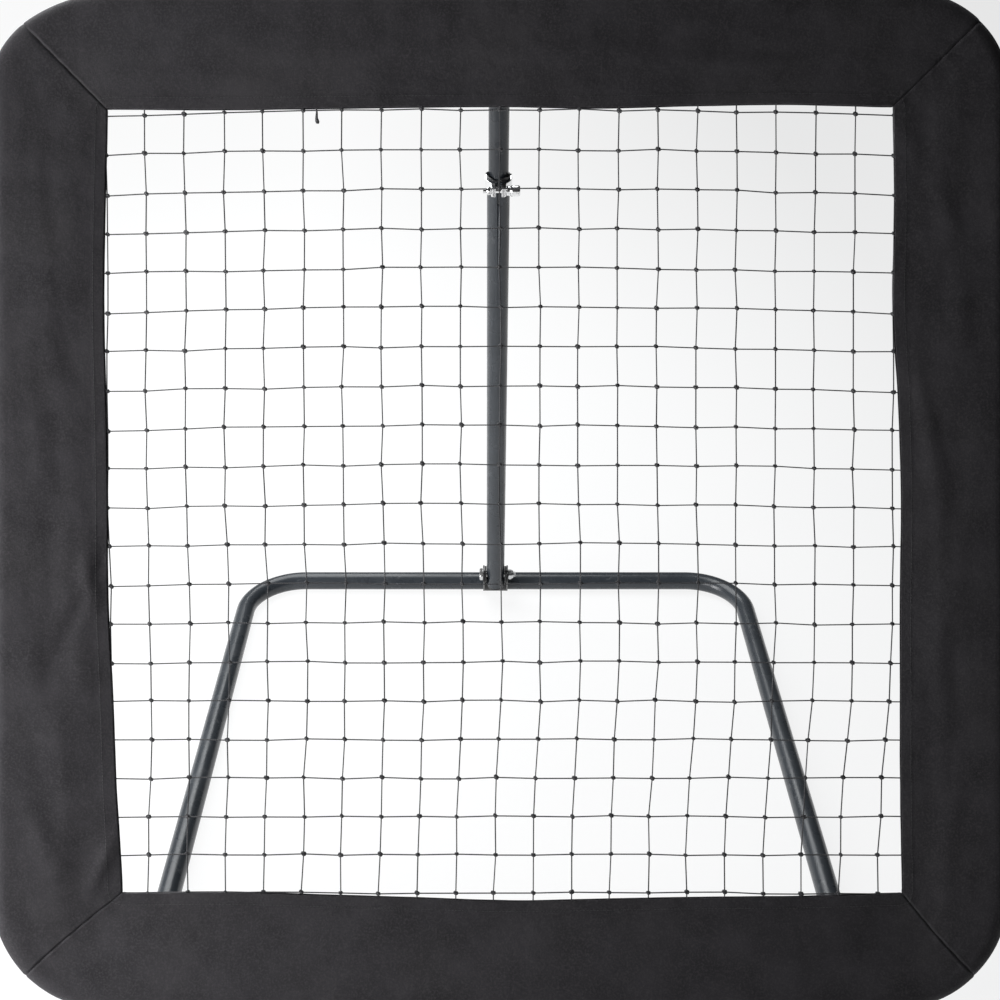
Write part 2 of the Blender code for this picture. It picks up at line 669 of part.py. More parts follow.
def make_lower_strut(pivot):
    """The outer tube of the strut: bolted at the foot, slit and clamped at its mouth."""
    path = [Vector((0, 0, -STRUT_TAIL)), Vector((0, 0, LOWER_TUBE_TOP))]
    shape = bent_tube(path, Vector((0, 1, 0)), LOWER_OD / 2, STRUT_WALL)
    tube = piece("strut_lower_tube", shape, STEEL_PAINT, pivot)
    hole = rod(BOLT_OD / 2 + GAP, -LOWER_OD, LOWER_OD)
    combine(tube, guide("strut_drill", hole, pivot), "DIFFERENCE")
    slit = block(
        (-SLIT_WIDTH / 2, -LOWER_OD, LOWER_TUBE_TOP - SLIT_LENGTH),
        (SLIT_WIDTH / 2, -SLIT_FROM_AXIS, LOWER_TUBE_TOP + CUT_PAST),
    )
    combine(tube, guide("strut_slit", slit, pivot), "DIFFERENCE")
    make_plug("strut_end_cap", LOWER_OD, STRUT_WALL, pivot, (0, 0, -STRUT_TAIL), (math.pi, 0, 0))
    make_bushing(pivot)
    make_clamp(pivot)


def make_bushing(pivot):
    """The plastic guide on the tube's mouth. Its rim flares out to an ear on each side."""
    inner = UPPER_OD / 2 + GAP
    seat = LOWER_TUBE_TOP + GAP
    outer = [
        (LOWER_OD / 2, 0),
        (LOWER_OD / 2, BUSHING_SEAT),
        (LOWER_OD / 2 + BUSHING_FLARE, BUSHING_HEIGHT),
        (LOWER_OD / 2 + BUSHING_FLARE - BUSHING_RIM, BUSHING_HEIGHT),
    ]
    rings = [along_z(circle(radius, TUBE_SIDES), seat + height) for radius, height in outer]
    bore = [
        (inner, 0),
        (inner, BUSHING_SEAT / 2),
        (inner, BUSHING_SEAT),
        (LOWER_OD / 2 + BUSHING_FLARE - BUSHING_WALL, BUSHING_HEIGHT),
    ]
    bores = [along_z(circle(radius, TUBE_SIDES), seat + height) for radius, height in bore]
    made = piece("strut_bushing", loft(rings, bores=bores), BLACK_PLASTIC, pivot)
    low = seat + BUSHING_SEAT
    high = seat + BUSHING_HEIGHT + CUT_PAST
    notch = block((-BUSHING_GAP, -LOWER_OD, low), (BUSHING_GAP, LOWER_OD, high))
    combine(made, guide("bushing_notch", notch, pivot), "DIFFERENCE")


def make_clamp(pivot):
    """A band round the slit mouth, with two lugs in front that a cross bolt draws together."""
    low = LOWER_TUBE_TOP - CLAMP_BELOW - CLAMP_HEIGHT / 2
    high = low + CLAMP_HEIGHT
    inner = LOWER_OD / 2 + GAP
    outer = inner + CLAMP_SHEET
    lug_inside = CLAMP_MOUTH / 2
    lug_outside = lug_inside + CLAMP_LUG_SHEET
    open_inner = math.asin(lug_inside / inner)
    open_outer = math.asin(lug_outside / outer)
    tip = -outer - CLAMP_LUG
    front = -math.pi / 2
    outline = arc_points((0, 0), outer, front + open_outer, front - open_outer + 2 * math.pi, 18)
    outline += [(-lug_outside, tip), (-lug_inside, tip)]
    outline += arc_points((0, 0), inner, front - open_inner + 2 * math.pi, front + open_inner, 18)
    outline += [(lug_inside, tip), (lug_outside, tip)]
    band = piece("clamp_band", loft([along_z(outline, low), along_z(outline, high)]), CHROME, pivot)
    axis = Vector((0, -CLAMP_BOLT_AHEAD, (low + high) / 2))
    hole = CLAMP_BOLT_OD / 2 + GAP
    combine(band, guide("clamp_drill", rod(hole, -LOWER_OD, LOWER_OD), pivot, axis), "DIFFERENCE")
    nut = lock_nut(CLAMP_BOLT_OD, CLAMP_NUT_ACROSS, CLAMP_NUT_HEIGHT, 0)
    piece("clamp_nut", nut, CHROME, pivot, axis - Vector((lug_outside + GAP, 0, 0)), (0, 0, math.pi))
    seat = lug_outside + GAP
    washer = ring(circle(CLAMP_WASHER_OD / 2, 16), circle(hole, 16), seat, seat + CLAMP_WASHER)
    piece("clamp_washer", washer, CHROME, pivot, axis)
    turn = empty("clamp_axis", axis, 0, pivot)
    face = lug_outside + CLAMP_WASHER + 2 * GAP
    tail = lug_outside + GAP + CLAMP_NUT_HEIGHT + CLAMP_THREAD
    rings = [
        along_x(circle(CLAMP_BOLT_OD / 2, 16), -tail),
        along_x(circle(CLAMP_BOLT_OD / 2, 16), face),
        along_x(circle(KNOB_OD / 2 - KNOB_RIM, 16), face),
        along_x(circle(KNOB_OD / 2, 16), face + KNOB_RIM),
        along_x(circle(KNOB_OD / 2, 16), face + KNOB_LENGTH - KNOB_RIM),
        along_x(circle(KNOB_OD / 2 - KNOB_RIM, 16), face + KNOB_LENGTH),
    ]
    piece("clamp_knob", loft(rings), CHROME, turn)


def make_upper_strut(pivot):
    """The inner tube: round where it slides, pressed flat and slotted at the top bolt."""
    slide = empty("strut_slide", (0, 0, 0), 0, pivot)
    start = LOWER_TUBE_TOP - UPPER_TUBE_IN
    flat = STRUT_LENGTH - FLAT_LENGTH
    stations = [(start, 0.0), (flat - FLAT_TAPER, 0.0)]
    stations += [(flat - FLAT_TAPER * left, press) for left, press in PRESS_STEPS]
    stations += [(flat, 1.0)]
    radius = UPPER_OD / 2
    rings = []
    bores = []
    for height, press in stations:
        wide = radius + (FLAT_WIDTH / 2 - radius) * press
        thin = radius + (FLAT_END / 2 - radius) * press
        wall = STRUT_WALL if press < 1 else FLAT_END * PRESSED_WALL
        unit = circle(1, TUBE_SIDES)
        rings.append(along_z([(a * thin, b * wide) for a, b in unit], height))
        bores.append(along_z([(a * (thin - wall), b * (wide - wall)) for a, b in unit], height))
    shape = loft(rings, bores=bores)
    made = piece("strut_upper_tube", shape, STEEL_PAINT, slide)
    eye = arc_points((0, STRUT_LENGTH), FLAT_WIDTH / 2, 0, math.pi, 12)
    root = flat - FLAT_TAPER * FLAT_LAP
    outline = eye + [(-FLAT_WIDTH / 2, root), (FLAT_WIDTH / 2, root)]
    thick = FLAT_END / 2 * FLAT_EDGE
    plate = loft([along_x(outline, -thick), along_x(outline, thick)])
    combine(made, guide("strut_flat_end", plate, slide), "UNION")
    slot = block(
        (-FLAT_END, -SLOT_ACROSS / 2, STRUT_LENGTH - SLOT_ALONG / 2),
        (FLAT_END, SLOT_ACROSS / 2, STRUT_LENGTH + SLOT_ALONG / 2),
    )
    combine(made, guide("strut_slot", slot, slide), "DIFFERENCE")


clear_scene()
frame_pivot = empty("frame_pivot", HINGE, -LEAN)
strut_pivot = empty("strut_pivot", LOWER_PIVOT, STRUT_LEAN)
make_stand()
make_frame_tubes(frame_pivot)
frame_covers = make_covers(frame_pivot)
make_net(frame_pivot)
make_border(frame_pivot)
make_hinges(frame_pivot, frame_covers)
make_top_mount(frame_pivot, frame_covers)
make_lower_strut(strut_pivot)
make_upper_strut(strut_pivot)
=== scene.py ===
"""Rebounder net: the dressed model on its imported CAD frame. Metres, +Z up, the net faces -Y."""

import math

import bmesh
import bpy
from mathutils import Matrix, Vector, noise


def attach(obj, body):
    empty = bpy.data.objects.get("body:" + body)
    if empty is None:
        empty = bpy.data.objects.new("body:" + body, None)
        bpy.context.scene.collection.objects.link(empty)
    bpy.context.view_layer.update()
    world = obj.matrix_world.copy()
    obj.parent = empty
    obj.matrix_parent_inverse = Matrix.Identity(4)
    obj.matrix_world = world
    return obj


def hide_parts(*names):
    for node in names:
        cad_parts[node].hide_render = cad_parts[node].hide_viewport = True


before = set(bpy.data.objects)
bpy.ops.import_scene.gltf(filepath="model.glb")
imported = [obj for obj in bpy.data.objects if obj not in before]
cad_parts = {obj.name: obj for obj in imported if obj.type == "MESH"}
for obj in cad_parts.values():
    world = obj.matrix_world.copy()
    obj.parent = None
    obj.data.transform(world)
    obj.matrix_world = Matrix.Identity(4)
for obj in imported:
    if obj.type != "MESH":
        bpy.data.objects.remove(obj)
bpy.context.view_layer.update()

# Studio ---------------------------------------------------------------------------------------
# The camera stands square to the leaning net, a good metre in front of it. The floor is pale
# paper, lit by softboxes before it, beside it and behind it, all of them on the left.
net_lean = math.radians(30)
net_middle = Vector((0, -0.13867, 0.45092))
into_net = Vector((0, math.cos(net_lean), -math.sin(net_lean)))
camera_distance = 1.331
camera_left = 0.0138

camera = bpy.data.objects.new("camera", bpy.data.cameras.new("camera"))
camera.data.lens = 48.68
camera.data.shift_x = 0.014
camera.data.shift_y = 0.001
camera.data.clip_start = 0.05
camera.location = net_middle - into_net * camera_distance + Vector((-camera_left, 0, 0))
camera.rotation_euler = (math.pi / 2 - net_lean, 0, 0)
bpy.context.scene.collection.objects.link(camera)
bpy.context.scene.camera = camera
bpy.context.scene.view_settings.view_transform = "Standard"


def add(tree, kind, inputs=None, **settings):
    """A node in a tree. A socket among the inputs is linked, and any other value is set."""
    made = tree.nodes.new(kind)
    for name, value in settings.items():
        setattr(made, name, value)
    for key, value in (inputs or {}).items():
        if isinstance(value, bpy.types.NodeSocket):
            tree.links.new(value, made.inputs[key])
        else:
            made.inputs[key].default_value = value
    return made


def ramp(tree, value, low, high, start, end):
    """The value's stretch from low to high, laid out from start to end."""
    return add(tree, "ShaderNodeMapRange", {0: value, 1: low, 2: high, 3: start, 4: end}).outputs[0]


def combine(tree, operation, first, second):
    """Two values, put together by a math node."""
    return add(tree, "ShaderNodeMath", {0: first, 1: second}, operation=operation).outputs[0]


def softbox(name, place, aim, size, watts, tint):
    lamp = bpy.data.objects.new(name, bpy.data.lights.new(name, "AREA"))
    lamp.data.shape = "RECTANGLE"
    lamp.data.size, lamp.data.size_y = size
    lamp.data.energy = watts
    lamp.data.color = tint
    lamp.location = place
    lamp.rotation_euler = (Vector(aim) - Vector(place)).to_track_quat("-Z", "Y").to_euler()
    bpy.context.scene.collection.objects.link(lamp)


softbox(
    "window_light", (-0.90, -1.20, 0.68), (-0.45, -0.05, 0.45), (0.5, 1.1), 13, (0.99, 0.985, 1.0)
)
softbox("side_light", (-1.35, -0.55, 0.50), (-0.30, 0.0, 0.35), (0.5, 1.2), 26, (0.99, 0.985, 1.0))
softbox("back_light", (-0.65, 0.95, 1.70), (0.0, 0.0, 0.05), (1.6, 1.6), 40, (0.97, 0.99, 1.0))

sky = bpy.data.worlds.new("studio_walls")
sky.use_nodes = True
bpy.context.scene.world = sky
tree = sky.node_tree
ways = add(tree, "ShaderNodeTexCoord").outputs["Generated"]
side_way = add(tree, "ShaderNodeSeparateXYZ", {0: ways}).outputs
to_left = ramp(tree, side_way["X"], 0.9, -0.9, 0.02, 0.26)
behind = ramp(tree, side_way["Y"], -0.7, 0.6, 0.5, 1.0)
walls = combine(tree, "MULTIPLY", to_left, behind)
path = add(tree, "ShaderNodeLightPath").outputs
level = add(tree, "ShaderNodeMix", {0: path["Is Camera Ray"], 2: walls, 3: 1.0}, data_type="FLOAT")
tree.nodes["Background"].inputs["Color"].default_value = (1, 1, 1, 1)
tree.links.new(level.outputs[0], tree.nodes["Background"].inputs["Strength"])

paper_reach = 9
paper_height = -0.0004
paper_glow = 0.84  # share of glow in what the camera sees: white, with a painted falloff of light from left to right
floor_mesh = bpy.data.meshes.new("floor")
corners = [(-1, -1), (1, -1), (1, 1), (-1, 1)]
points = [(x * paper_reach, y * paper_reach, paper_height) for x, y in corners]
floor_mesh.from_pydata(points, [], [(0, 1, 2, 3)])
floor = bpy.data.objects.new("floor", floor_mesh)
bpy.context.scene.collection.objects.link(floor)
paper = bpy.data.materials.new("floor_paper")
paper.use_nodes = True
tree = paper.node_tree
shader = tree.nodes["Principled BSDF"]
shader.inputs["Roughness"].default_value = 0.9
shader.inputs["Specular IOR Level"].default_value = 0.1
place = add(tree, "ShaderNodeTexCoord").outputs["Object"]
cloudy = add(tree, "ShaderNodeTexNoise", {"Vector": place, "Scale": 1.4, "Detail": 3.0})
shades = {6: (0.70, 0.705, 0.715, 1), 7: (0.76, 0.76, 0.765, 1)}
tone = add(tree, "ShaderNodeMix", {0: cloudy.outputs[0], **shades}, data_type="RGBA")
tree.links.new(tone.outputs[2], shader.inputs["Base Color"])
path = add(tree, "ShaderNodeLightPath").outputs
seen = combine(tree, "MAXIMUM", path["Is Camera Ray"], path["Is Glossy Ray"])
share = combine(tree, "MULTIPLY", seen, paper_glow)
across = add(tree, "ShaderNodeSeparateXYZ", {0: place}).outputs["X"]
# The glow is brighter than white on the left and dims to the right: painted light, a painted
# falloff of the softboxes on the left.
painted_falloff = ramp(tree, across, -0.5, 0.9, 1.12, 0.93)
white = add(tree, "ShaderNodeEmission", {"Color": (0.995, 0.998, 1, 1), "Strength": painted_falloff})
both = add(tree, "ShaderNodeMixShader", {0: share, 1: shader.outputs[0], 2: white.outputs[0]})
tree.links.new(both.outputs[0], tree.nodes["Material Output"].inputs["Surface"])
floor_mesh.materials.append(paper)

# Stand tube -----------------------------------------------------------------------------------
# One 25.4 mm steel tube, bent cold to a U and powder-coated dark slate grey. Its two legs run
# forward along the floor to the hinges, and its crossbar lies behind.
tube_radius = 0.0127
tube_wall = 0.0012
tube_sides = 44  # round a tube
break_edge = 0.00035  # chamfer of a tube's cut end
bend_radius = 0.078
leg_place = 0.358
leg_overhang = 0.016
crossbar_back = 0.730
hinge = Vector((0, -0.34558, 0.01254))


class Finish:
    """A surface finish, whose nodes are put together call by call."""

    def __init__(self, name, colours, spread, sockets):
        self.material = bpy.data.materials.new(name)
        self.material.use_nodes = True
        self.tree = self.material.node_tree
        self.shader = self.tree.nodes["Principled BSDF"]
        for socket, value in sockets.items():
            self.shader.inputs[socket].default_value = value
        self.place = self.add("ShaderNodeTexCoord").outputs["Object"]
        mottle = self.noise(spread, 4)
        self.colour = self.mix(self.ramp(mottle, 0.3, 0.7), colours[0], colours[1])
        self.show_colour()

    def add(self, kind, inputs=None, **settings):
        return add(self.tree, kind, inputs, **settings)

    def show_colour(self):
        self.tree.links.new(self.colour, self.shader.inputs["Base Color"])

    def noise(self, scale, detail, distortion=0.0):
        inputs = {"Vector": self.place, "Scale": scale, "Detail": detail, "Distortion": distortion}
        return self.add("ShaderNodeTexNoise", inputs).outputs[0]

    def ramp(self, value, low, high, start=0.0, end=1.0):
        return ramp(self.tree, value, low, high, start, end)

    def math(self, operation, first, second=0.0):
        return combine(self.tree, operation, first, second)

    def mix(self, share, first, second):
        return self.add(
            "ShaderNodeMix", {0: share, 6: first, 7: second}, data_type="RGBA"
        ).outputs[2]

    def tint(self, mask, share, colour):
        """Another colour where the mask is, at that share of it."""
        self.colour = self.mix(self.math("MULTIPLY", mask, share), self.colour, colour)
        self.show_colour()

    def roughen(self, value, low, high):
        self.tree.links.new(self.ramp(value, 0.3, 0.7, low, high), self.shader.inputs["Roughness"])

    def bump(self, height, depth):
        """Relief of that depth in metres, on top of what the shader has already."""
        node = self.add("ShaderNodeBump", {"Height": height, "Distance": depth, "Strength": 1.0})
        socket = self.shader.inputs["Normal"]
        if socket.is_linked:
            self.tree.links.new(socket.links[0].from_socket, node.inputs["Normal"])
        self.tree.links.new(node.outputs[0], socket)

    def edge_wear_and_highlight(self, colour, start, share):
        """Another colour along convex edges: rubbed wear, and on the black coat also a painted
        highlight where edges catch the light.
        """
        edge = self.ramp(
            self.add("ShaderNodeNewGeometry").outputs["Pointiness"], start, start + 0.06
        )
        patchy = self.ramp(self.noise(220, 3), 0.42, 0.60)
        self.tint(self.math("MULTIPLY", edge, patchy), share, colour)


def powder_coat(name, colours, roughness):
    """Baked powder: a fine orange-peel skin, a little cloudy, with a few pale scuffs."""
    sockets = {"Specular IOR Level": 0.42, "Coat Weight": 0.10, "Coat Roughness": 0.20}
    made = Finish(name, colours, 24, sockets)
    scuffs = made.ramp(made.noise(70, 6, distortion=1.6), 0.62, 0.70)
    made.tint(scuffs, 0.35, (0.12, 0.125, 0.13, 1))
    made.roughen(made.noise(38, 4), roughness - 0.05, roughness + 0.09)
    made.bump(made.noise(1100, 2), 0.00006)
    made.bump(made.noise(260, 2), 0.00005)
    return made


def settle(name, shape, finish, body, replaced=(), angle=35, steps=None):
    """Makes a finished piece of a bmesh or a mesh: smooth-shaded up to the angle, worked by its
    steps, which add modifiers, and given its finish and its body."""
    if isinstance(shape, bmesh.types.BMesh):
        mesh = bpy.data.meshes.new(name)
        shape.to_mesh(mesh)
        shape.free()
    else:
        mesh = shape
    piece = bpy.data.objects.new(name, mesh)
    bpy.context.scene.collection.objects.link(piece)
    mesh.shade_smooth()
    mesh.set_sharp_from_angle(angle=math.radians(angle))
    if steps:
        steps(piece)
        bpy.context.view_layer.update()
        graph = bpy.context.evaluated_depsgraph_get()
        applied = bpy.data.meshes.new_from_object(piece.evaluated_get(graph))
        piece.modifiers.clear()
        piece.data = applied
        applied.name = name
    piece.data.materials.clear()
    piece.data.materials.append(finish.material)
    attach(piece, body)
    if replaced:
        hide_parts(*replaced)
    return piece


def circle(radius, sides, start=0.0):
    turns = [start + math.tau * i / sides for i in range(sides)]
    return [(radius * math.cos(a), radius * math.sin(a)) for a in turns]


def arc(middle, radius, start, end, steps):
    turns = [start + (end - start) * i / steps for i in range(steps + 1)]
    return [(middle[0] + radius * math.cos(a), middle[1] + radius * math.sin(a)) for a in turns]


def skin(shape, rings, loop=False, caps=False):
    """Quads between neighbouring rings of points, which are added to the bmesh."""
    rows = [[shape.verts.new(point) for point in ring] for ring in rings]
    pairs = list(zip(rows, rows[1:] + ([rows[0]] if loop else [])))
    for near, far in pairs:
        for j in range(len(near)):
            k = (j + 1) % len(near)
            shape.faces.new((near[j], near[k], far[k], far[j]))
    if caps:
        shape.faces.new(rows[0])
        shape.faces.new(rows[-1])


def solid(rings, loop=False, caps=False):
    """A new bmesh over those rings, with its faces outward."""
    shape = bmesh.new()
    skin(shape, rings, loop, caps)
    bmesh.ops.recalc_face_normals(shape, faces=shape.faces)
    return shape


def pipe(path, normal, radii):
    """Rings along a flat path, with a radius for each of its points."""
    rings = []
    for i, (point, radius) in enumerate(zip(path, radii)):
        tangent = (path[min(i + 1, len(path) - 1)] - path[max(i - 1, 0)]).normalized()
        across = tangent.cross(normal)
        rings.append([point + across * a + normal * b for a, b in circle(radius, tube_sides)])
    return rings


def hollow_tube(path, normal, radius):
    """A tube with its bore, and with the small burr-free chamfer of a cut end."""
    first_step = (path[1] - path[0]).normalized() * break_edge
    last_step = (path[-1] - path[-2]).normalized() * break_edge
    full = [path[0], path[0] + first_step] + path[1:-1] + [path[-1] - last_step, path[-1]]
    radii = [radius - break_edge] + [radius] * (len(full) - 2) + [radius - break_edge]
    outside = pipe(full, normal, radii)
    inside = pipe(full, normal, [radius - tube_wall] * len(full))
    return solid(outside + inside[::-1], loop=True)


slate_coat = powder_coat(
    "slate_powder_coat", ((0.027, 0.032, 0.038, 1), (0.037, 0.043, 0.050, 1)), 0.27
)
bend = arc((leg_place - bend_radius, crossbar_back - bend_radius), bend_radius, 0, math.pi / 2, 26)
half_path = [(leg_place, -leg_overhang)] + bend
flat_path = half_path + [(-x, y) for x, y in reversed(half_path)]
stand_path = [hinge + Vector((x, y, 0)) for x, y in flat_path]
shape = hollow_tube(stand_path, Vector((0, 0, 1)), tube_radius)
settle("stand_u_tube", shape, slate_coat, "stand", ["stand_tube"])

# End caps -------------------------------------------------------------------------------------
# Moulded black plastic plugs, pressed into the open ends of the legs and of the strut's foot.
# Each has a domed head as wide as the tube and a thin gate mark in its middle.
fit = 0.0003  # between pieces that touch


def moulded_plastic(name, colour, roughness):
    lighter = tuple(c * 1.35 for c in colour[:3]) + (1,)
    made = Finish(name, (colour, lighter), 60, {"Specular IOR Level": 0.42})
    made.roughen(made.noise(120, 3), roughness, roughness + 0.14)
    made.bump(made.noise(1600, 1), 0.00004)
    made.bump(made.noise(45, 2), 0.00010)
    made.edge_wear_and_highlight((0.06, 0.06, 0.062, 1), 0.52, 0.5)
    return made


def turned(profile, place, sides=40):
    """A turned solid about its own X axis. The profile holds (x, radius) or (x, half across flats,
    largest radius) points; a radius of 0 closes an end, and otherwise the last point meets the
    first."""
    shape = bmesh.new()
    rows = []
    for point in profile:
        if point[1] == 0:
            rows.append([shape.verts.new(place @ Vector((point[0], 0, 0)))])
            continue
        row = []
        for i in range(sides):
            turn = math.tau * i / sides
            radius = point[1]
            if len(point) == 3:
                from_flat = (turn + math.pi / 6) % (math.pi / 3) - math.pi / 6
                radius = min(point[1] / math.cos(from_flat), point[2])
            corner = Vector((point[0], radius * math.cos(turn), radius * math.sin(turn)))
            row.append(shape.verts.new(place @ corner))
        rows.append(row)
    pairs = list(zip(rows, rows[1:]))
    if len(rows[0]) > 1 and len(rows[-1]) > 1:
        pairs.append((rows[-1], rows[0]))
    for near, far in pairs:
        for j in range(sides):
            k = (j + 1) % sides
            if len(near) == 1:
                shape.faces.new((near[0], far[k], far[j]))
            elif len(far) == 1:
                shape.faces.new((near[j], near[k], far[0]))
            else:
                shape.faces.new((near[j], near[k], far[k], far[j]))
    bmesh.ops.recalc_face_normals(shape, faces=shape.faces)
    return shape


def end_cap(head, place):
    """A plug: a tapered stem inside the tube, and a domed head of the tube's own radius."""
    stem = head - tube_wall - fit
    dome = 0.0019
    profile = [(-0.008, 0), (-0.008, stem * 0.88), (-0.0066, stem), (fit, stem), (fit, head - fit)]
    profile += [(2 * fit, head), (0.0014, head)]
    for a in (0.5, 1.0, 1.4):
        profile.append((0.0014 + dome * math.sin(a), head - dome * (1 - math.cos(a))))
    profile += [(0.0034, head * 0.55), (0.0034, 0.0022), (0.0031, 0.0016), (0.0031, 0)]
    return turned(profile, place)


black_plastic = moulded_plastic("black_plastic", (0.011, 0.011, 0.012, 1), 0.42)
for side, hand in ((-1, "left"), (1, "right")):
    mouth = hinge + Vector((side * leg_place, -leg_overhang, 0))
    place = Matrix.Translation(mouth) @ Matrix.Rotation(-math.pi / 2, 4, "Z")
    shape = end_cap(tube_radius, place)
    settle(
        "leg_cap_" + hand, shape, black_plastic, "stand", ["stand_end_cap_" + hand]
    )

# Strut bracket --------------------------------------------------------------------------------
# A 2 mm steel saddle with two ears, welded on the crossbar and painted black. The strut's foot
# turns between the ears on a bolt.
sheet_steel = 0.0020
pressed_edge = 0.00045  # how far a bracket's edges are rounded
saddle_spread = math.radians(96)
foot_reach = (-0.030, 0.031)
strut_pivot = hinge + Vector((0, crossbar_back + foot_reach[0], foot_reach[1]))
strut_spacer = 0.0026
strut_ear_gap = 2 * tube_radius + 2 * (strut_spacer + 2 * fit)
bead_radius = 0.0014
bead_middle = 0.0006  # off the tube's surface


def extruded(place, outline, axis, low, high):
    """A flat outline, drawn out from low to high along one axis of its place."""
    rings = []
    for depth in (low, high):
        points = [(*point[:axis], depth, *point[axis:]) for point in outline]
        rings.append([place @ Vector(point) for point in points])
    return solid(rings, caps=True)


def bracket(place, reach, ear_gap, eye_radius):
    """Two ears that stand off a tube along X, joined by a saddle on the tube's back. The saddle is
    a hair thinner and shorter than the ears, so that the three weld cleanly."""
    hair = 0.0001
    spread = saddle_spread - 0.01
    seat = tube_radius + fit
    back = seat + sheet_steel
    heading = math.atan2(reach[1], reach[0])
    tangent = math.acos((back - eye_radius) / math.hypot(*reach))
    ear = arc((0, 0), back, heading + saddle_spread, heading + tangent, 5)
    ear += arc(reach, eye_radius, heading + tangent, heading - tangent, 22)
    ear += arc((0, 0), back, heading - tangent, heading - saddle_spread, 5)
    ear += arc((0, 0), seat, heading - saddle_spread, heading + saddle_spread, 22)
    web = arc((0, 0), back - hair, heading + spread, heading - spread, 22)
    web += arc((0, 0), seat + hair, heading - spread, heading + spread, 22)
    inner = ear_gap / 2
    outer = inner + sheet_steel
    middle = inner + sheet_steel / 2
    ears = [extruded(place, ear, 0, inner, outer), extruded(place, ear, 0, -outer, -inner)]
    return ears, extruded(place, web, 0, -middle, middle)


def helper_object(name, shape, smooth=True):
    """A bmesh as an object that a modifier or a node uses, and that is removed after it."""
    mesh = bpy.data.meshes.new(name)
    shape.to_mesh(mesh)
    shape.free()
    if smooth:
        mesh.shade_smooth()
    made = bpy.data.objects.new(name, mesh)
    bpy.context.scene.collection.objects.link(made)
    return made


def boolean(piece, other, operation="DIFFERENCE"):
    step = piece.modifiers.new("boolean", "BOOLEAN")
    step.operation = operation
    step.solver = "EXACT"
    step.object = other


def round_edges(piece, width, segments):
    bevel = piece.modifiers.new("edges", "BEVEL")
    bevel.width = width
    bevel.segments = segments
    bevel.limit_method = "ANGLE"
    bevel.angle_limit = math.radians(40)


def put_bracket(name, body, place, reach, ear_gap, eye_radius, node):
    (ear, other_ear), web = bracket(place, reach, ear_gap, eye_radius)
    spare = [helper_object("spare", shape, smooth=False) for shape in (web, other_ear)]

    def weld_and_round(piece):
        for other in spare:
            boolean(piece, other, "UNION")
        round_edges(piece, pressed_edge, segments=2)

    settle(name, ear, black_coat, body, [node], angle=30, steps=weld_and_round)
    for thing in spare:
        bpy.data.objects.remove(thing)


def weld_bead(start, end, radius, seed):
    """A hand-laid bead: its ripples overlap like coins, and its ends taper off."""
    way = (end - start).normalized()
    across = way.orthogonal().normalized()
    normal = way.cross(across)
    count = 36
    rings = []
    for i in range(count + 1):
        t = i / count
        swell = math.sin(math.pi * (t * 0.94 + 0.03)) ** 0.35
        ripple = 1 + 0.14 * abs(math.sin(t * 30)) + 0.10 * noise.noise(Vector((t * 9, seed, 0)))
        size = radius * swell * ripple
        middle = start.lerp(end, t)
        rings.append([middle + across * a + normal * b for a, b in circle(size, 10)])
    return solid(rings, caps=True)


black_coat = powder_coat(
    "black_powder_coat", ((0.010, 0.010, 0.011, 1), (0.017, 0.017, 0.018, 1)), 0.34
)
# Lighter grey along the black pieces' convex edges: partly rubbed paint, partly a painted highlight
# where the ears' edges catch the light.
black_coat.edge_wear_and_highlight((0.11, 0.11, 0.115, 1), 0.54, 0.6)
crossbar = hinge + Vector((0, crossbar_back, 0))
place = Matrix.Translation(crossbar)
put_bracket("foot_bracket", "stand", place, foot_reach, strut_ear_gap, 0.013, "strut_bracket")
heading = math.atan2(foot_reach[1], foot_reach[0])
for number, turn in enumerate((heading + saddle_spread, heading - saddle_spread)):
    seam = crossbar + Vector((0, math.cos(turn), math.sin(turn))) * (tube_radius + bead_middle)
    half = Vector((strut_ear_gap / 2 + sheet_steel, 0, 0))
    shape = weld_bead(seam - half, seam + half, bead_radius, seed=number * 7.3)
    settle("foot_weld_" + str(number + 1), shape, black_coat, "stand")

# Bolts, nuts and spacers of the three pivots ---------------------------------------------------
# Zinc-plated hexagon bolts with locking nuts hold the two hinges, the strut's foot and its top.
# Black plastic spacers keep the tubes off the ears.


def plated(name, colours, roughness, tint_spread):
    """Bright plating with a fine grain, clouds in its gloss and a faintly mottled tone."""
    made = Finish(name, colours, tint_spread, {"Metallic": 1.0})
    made.roughen(made.noise(300, 5), roughness, roughness + 0.12)
    made.bump(made.noise(2200, 2), 0.00002)
    made.bump(made.noise(420, 3), 0.00003)
    return made


def hex_bolt(place, bolt_od, grip, across, head, tail):
    """A hexagon head with its chamfer and washer face, a plain shank, and a threaded end."""
    left = -grip / 2 - fit
    top = left - head
    flat = across / 2
    corner = flat * 1.2
    profile = [(top, 0), (top + 0.0002, flat * 0.55), (top, flat * 0.62), (top, flat * 0.93)]
    profile += [(left - head * 0.86, flat, flat * 1.06), (left - head * 0.72, flat, corner)]
    profile += [(left - 0.0005, flat, corner), (left - 0.0003, flat * 0.97), (left, flat * 0.97)]
    profile += [(left, bolt_od / 2)]
    start = grip / 2 + fit
    profile += [(start, bolt_od / 2)]
    pitch = 0.00125 if bolt_od > 0.007 else 0.001
    turns = int((tail - 0.0008) / pitch)
    for i in range(turns):
        profile += [(start + pitch * (i + 0.5), bolt_od / 2 - pitch * 0.45)]
        profile += [(start + pitch * (i + 1), bolt_od / 2)]
    end = start + tail
    profile += [(end - 0.0003, bolt_od / 2 - 0.0006), (end, bolt_od * 0.36), (end, 0)]
    return turned(profile, place, 48)


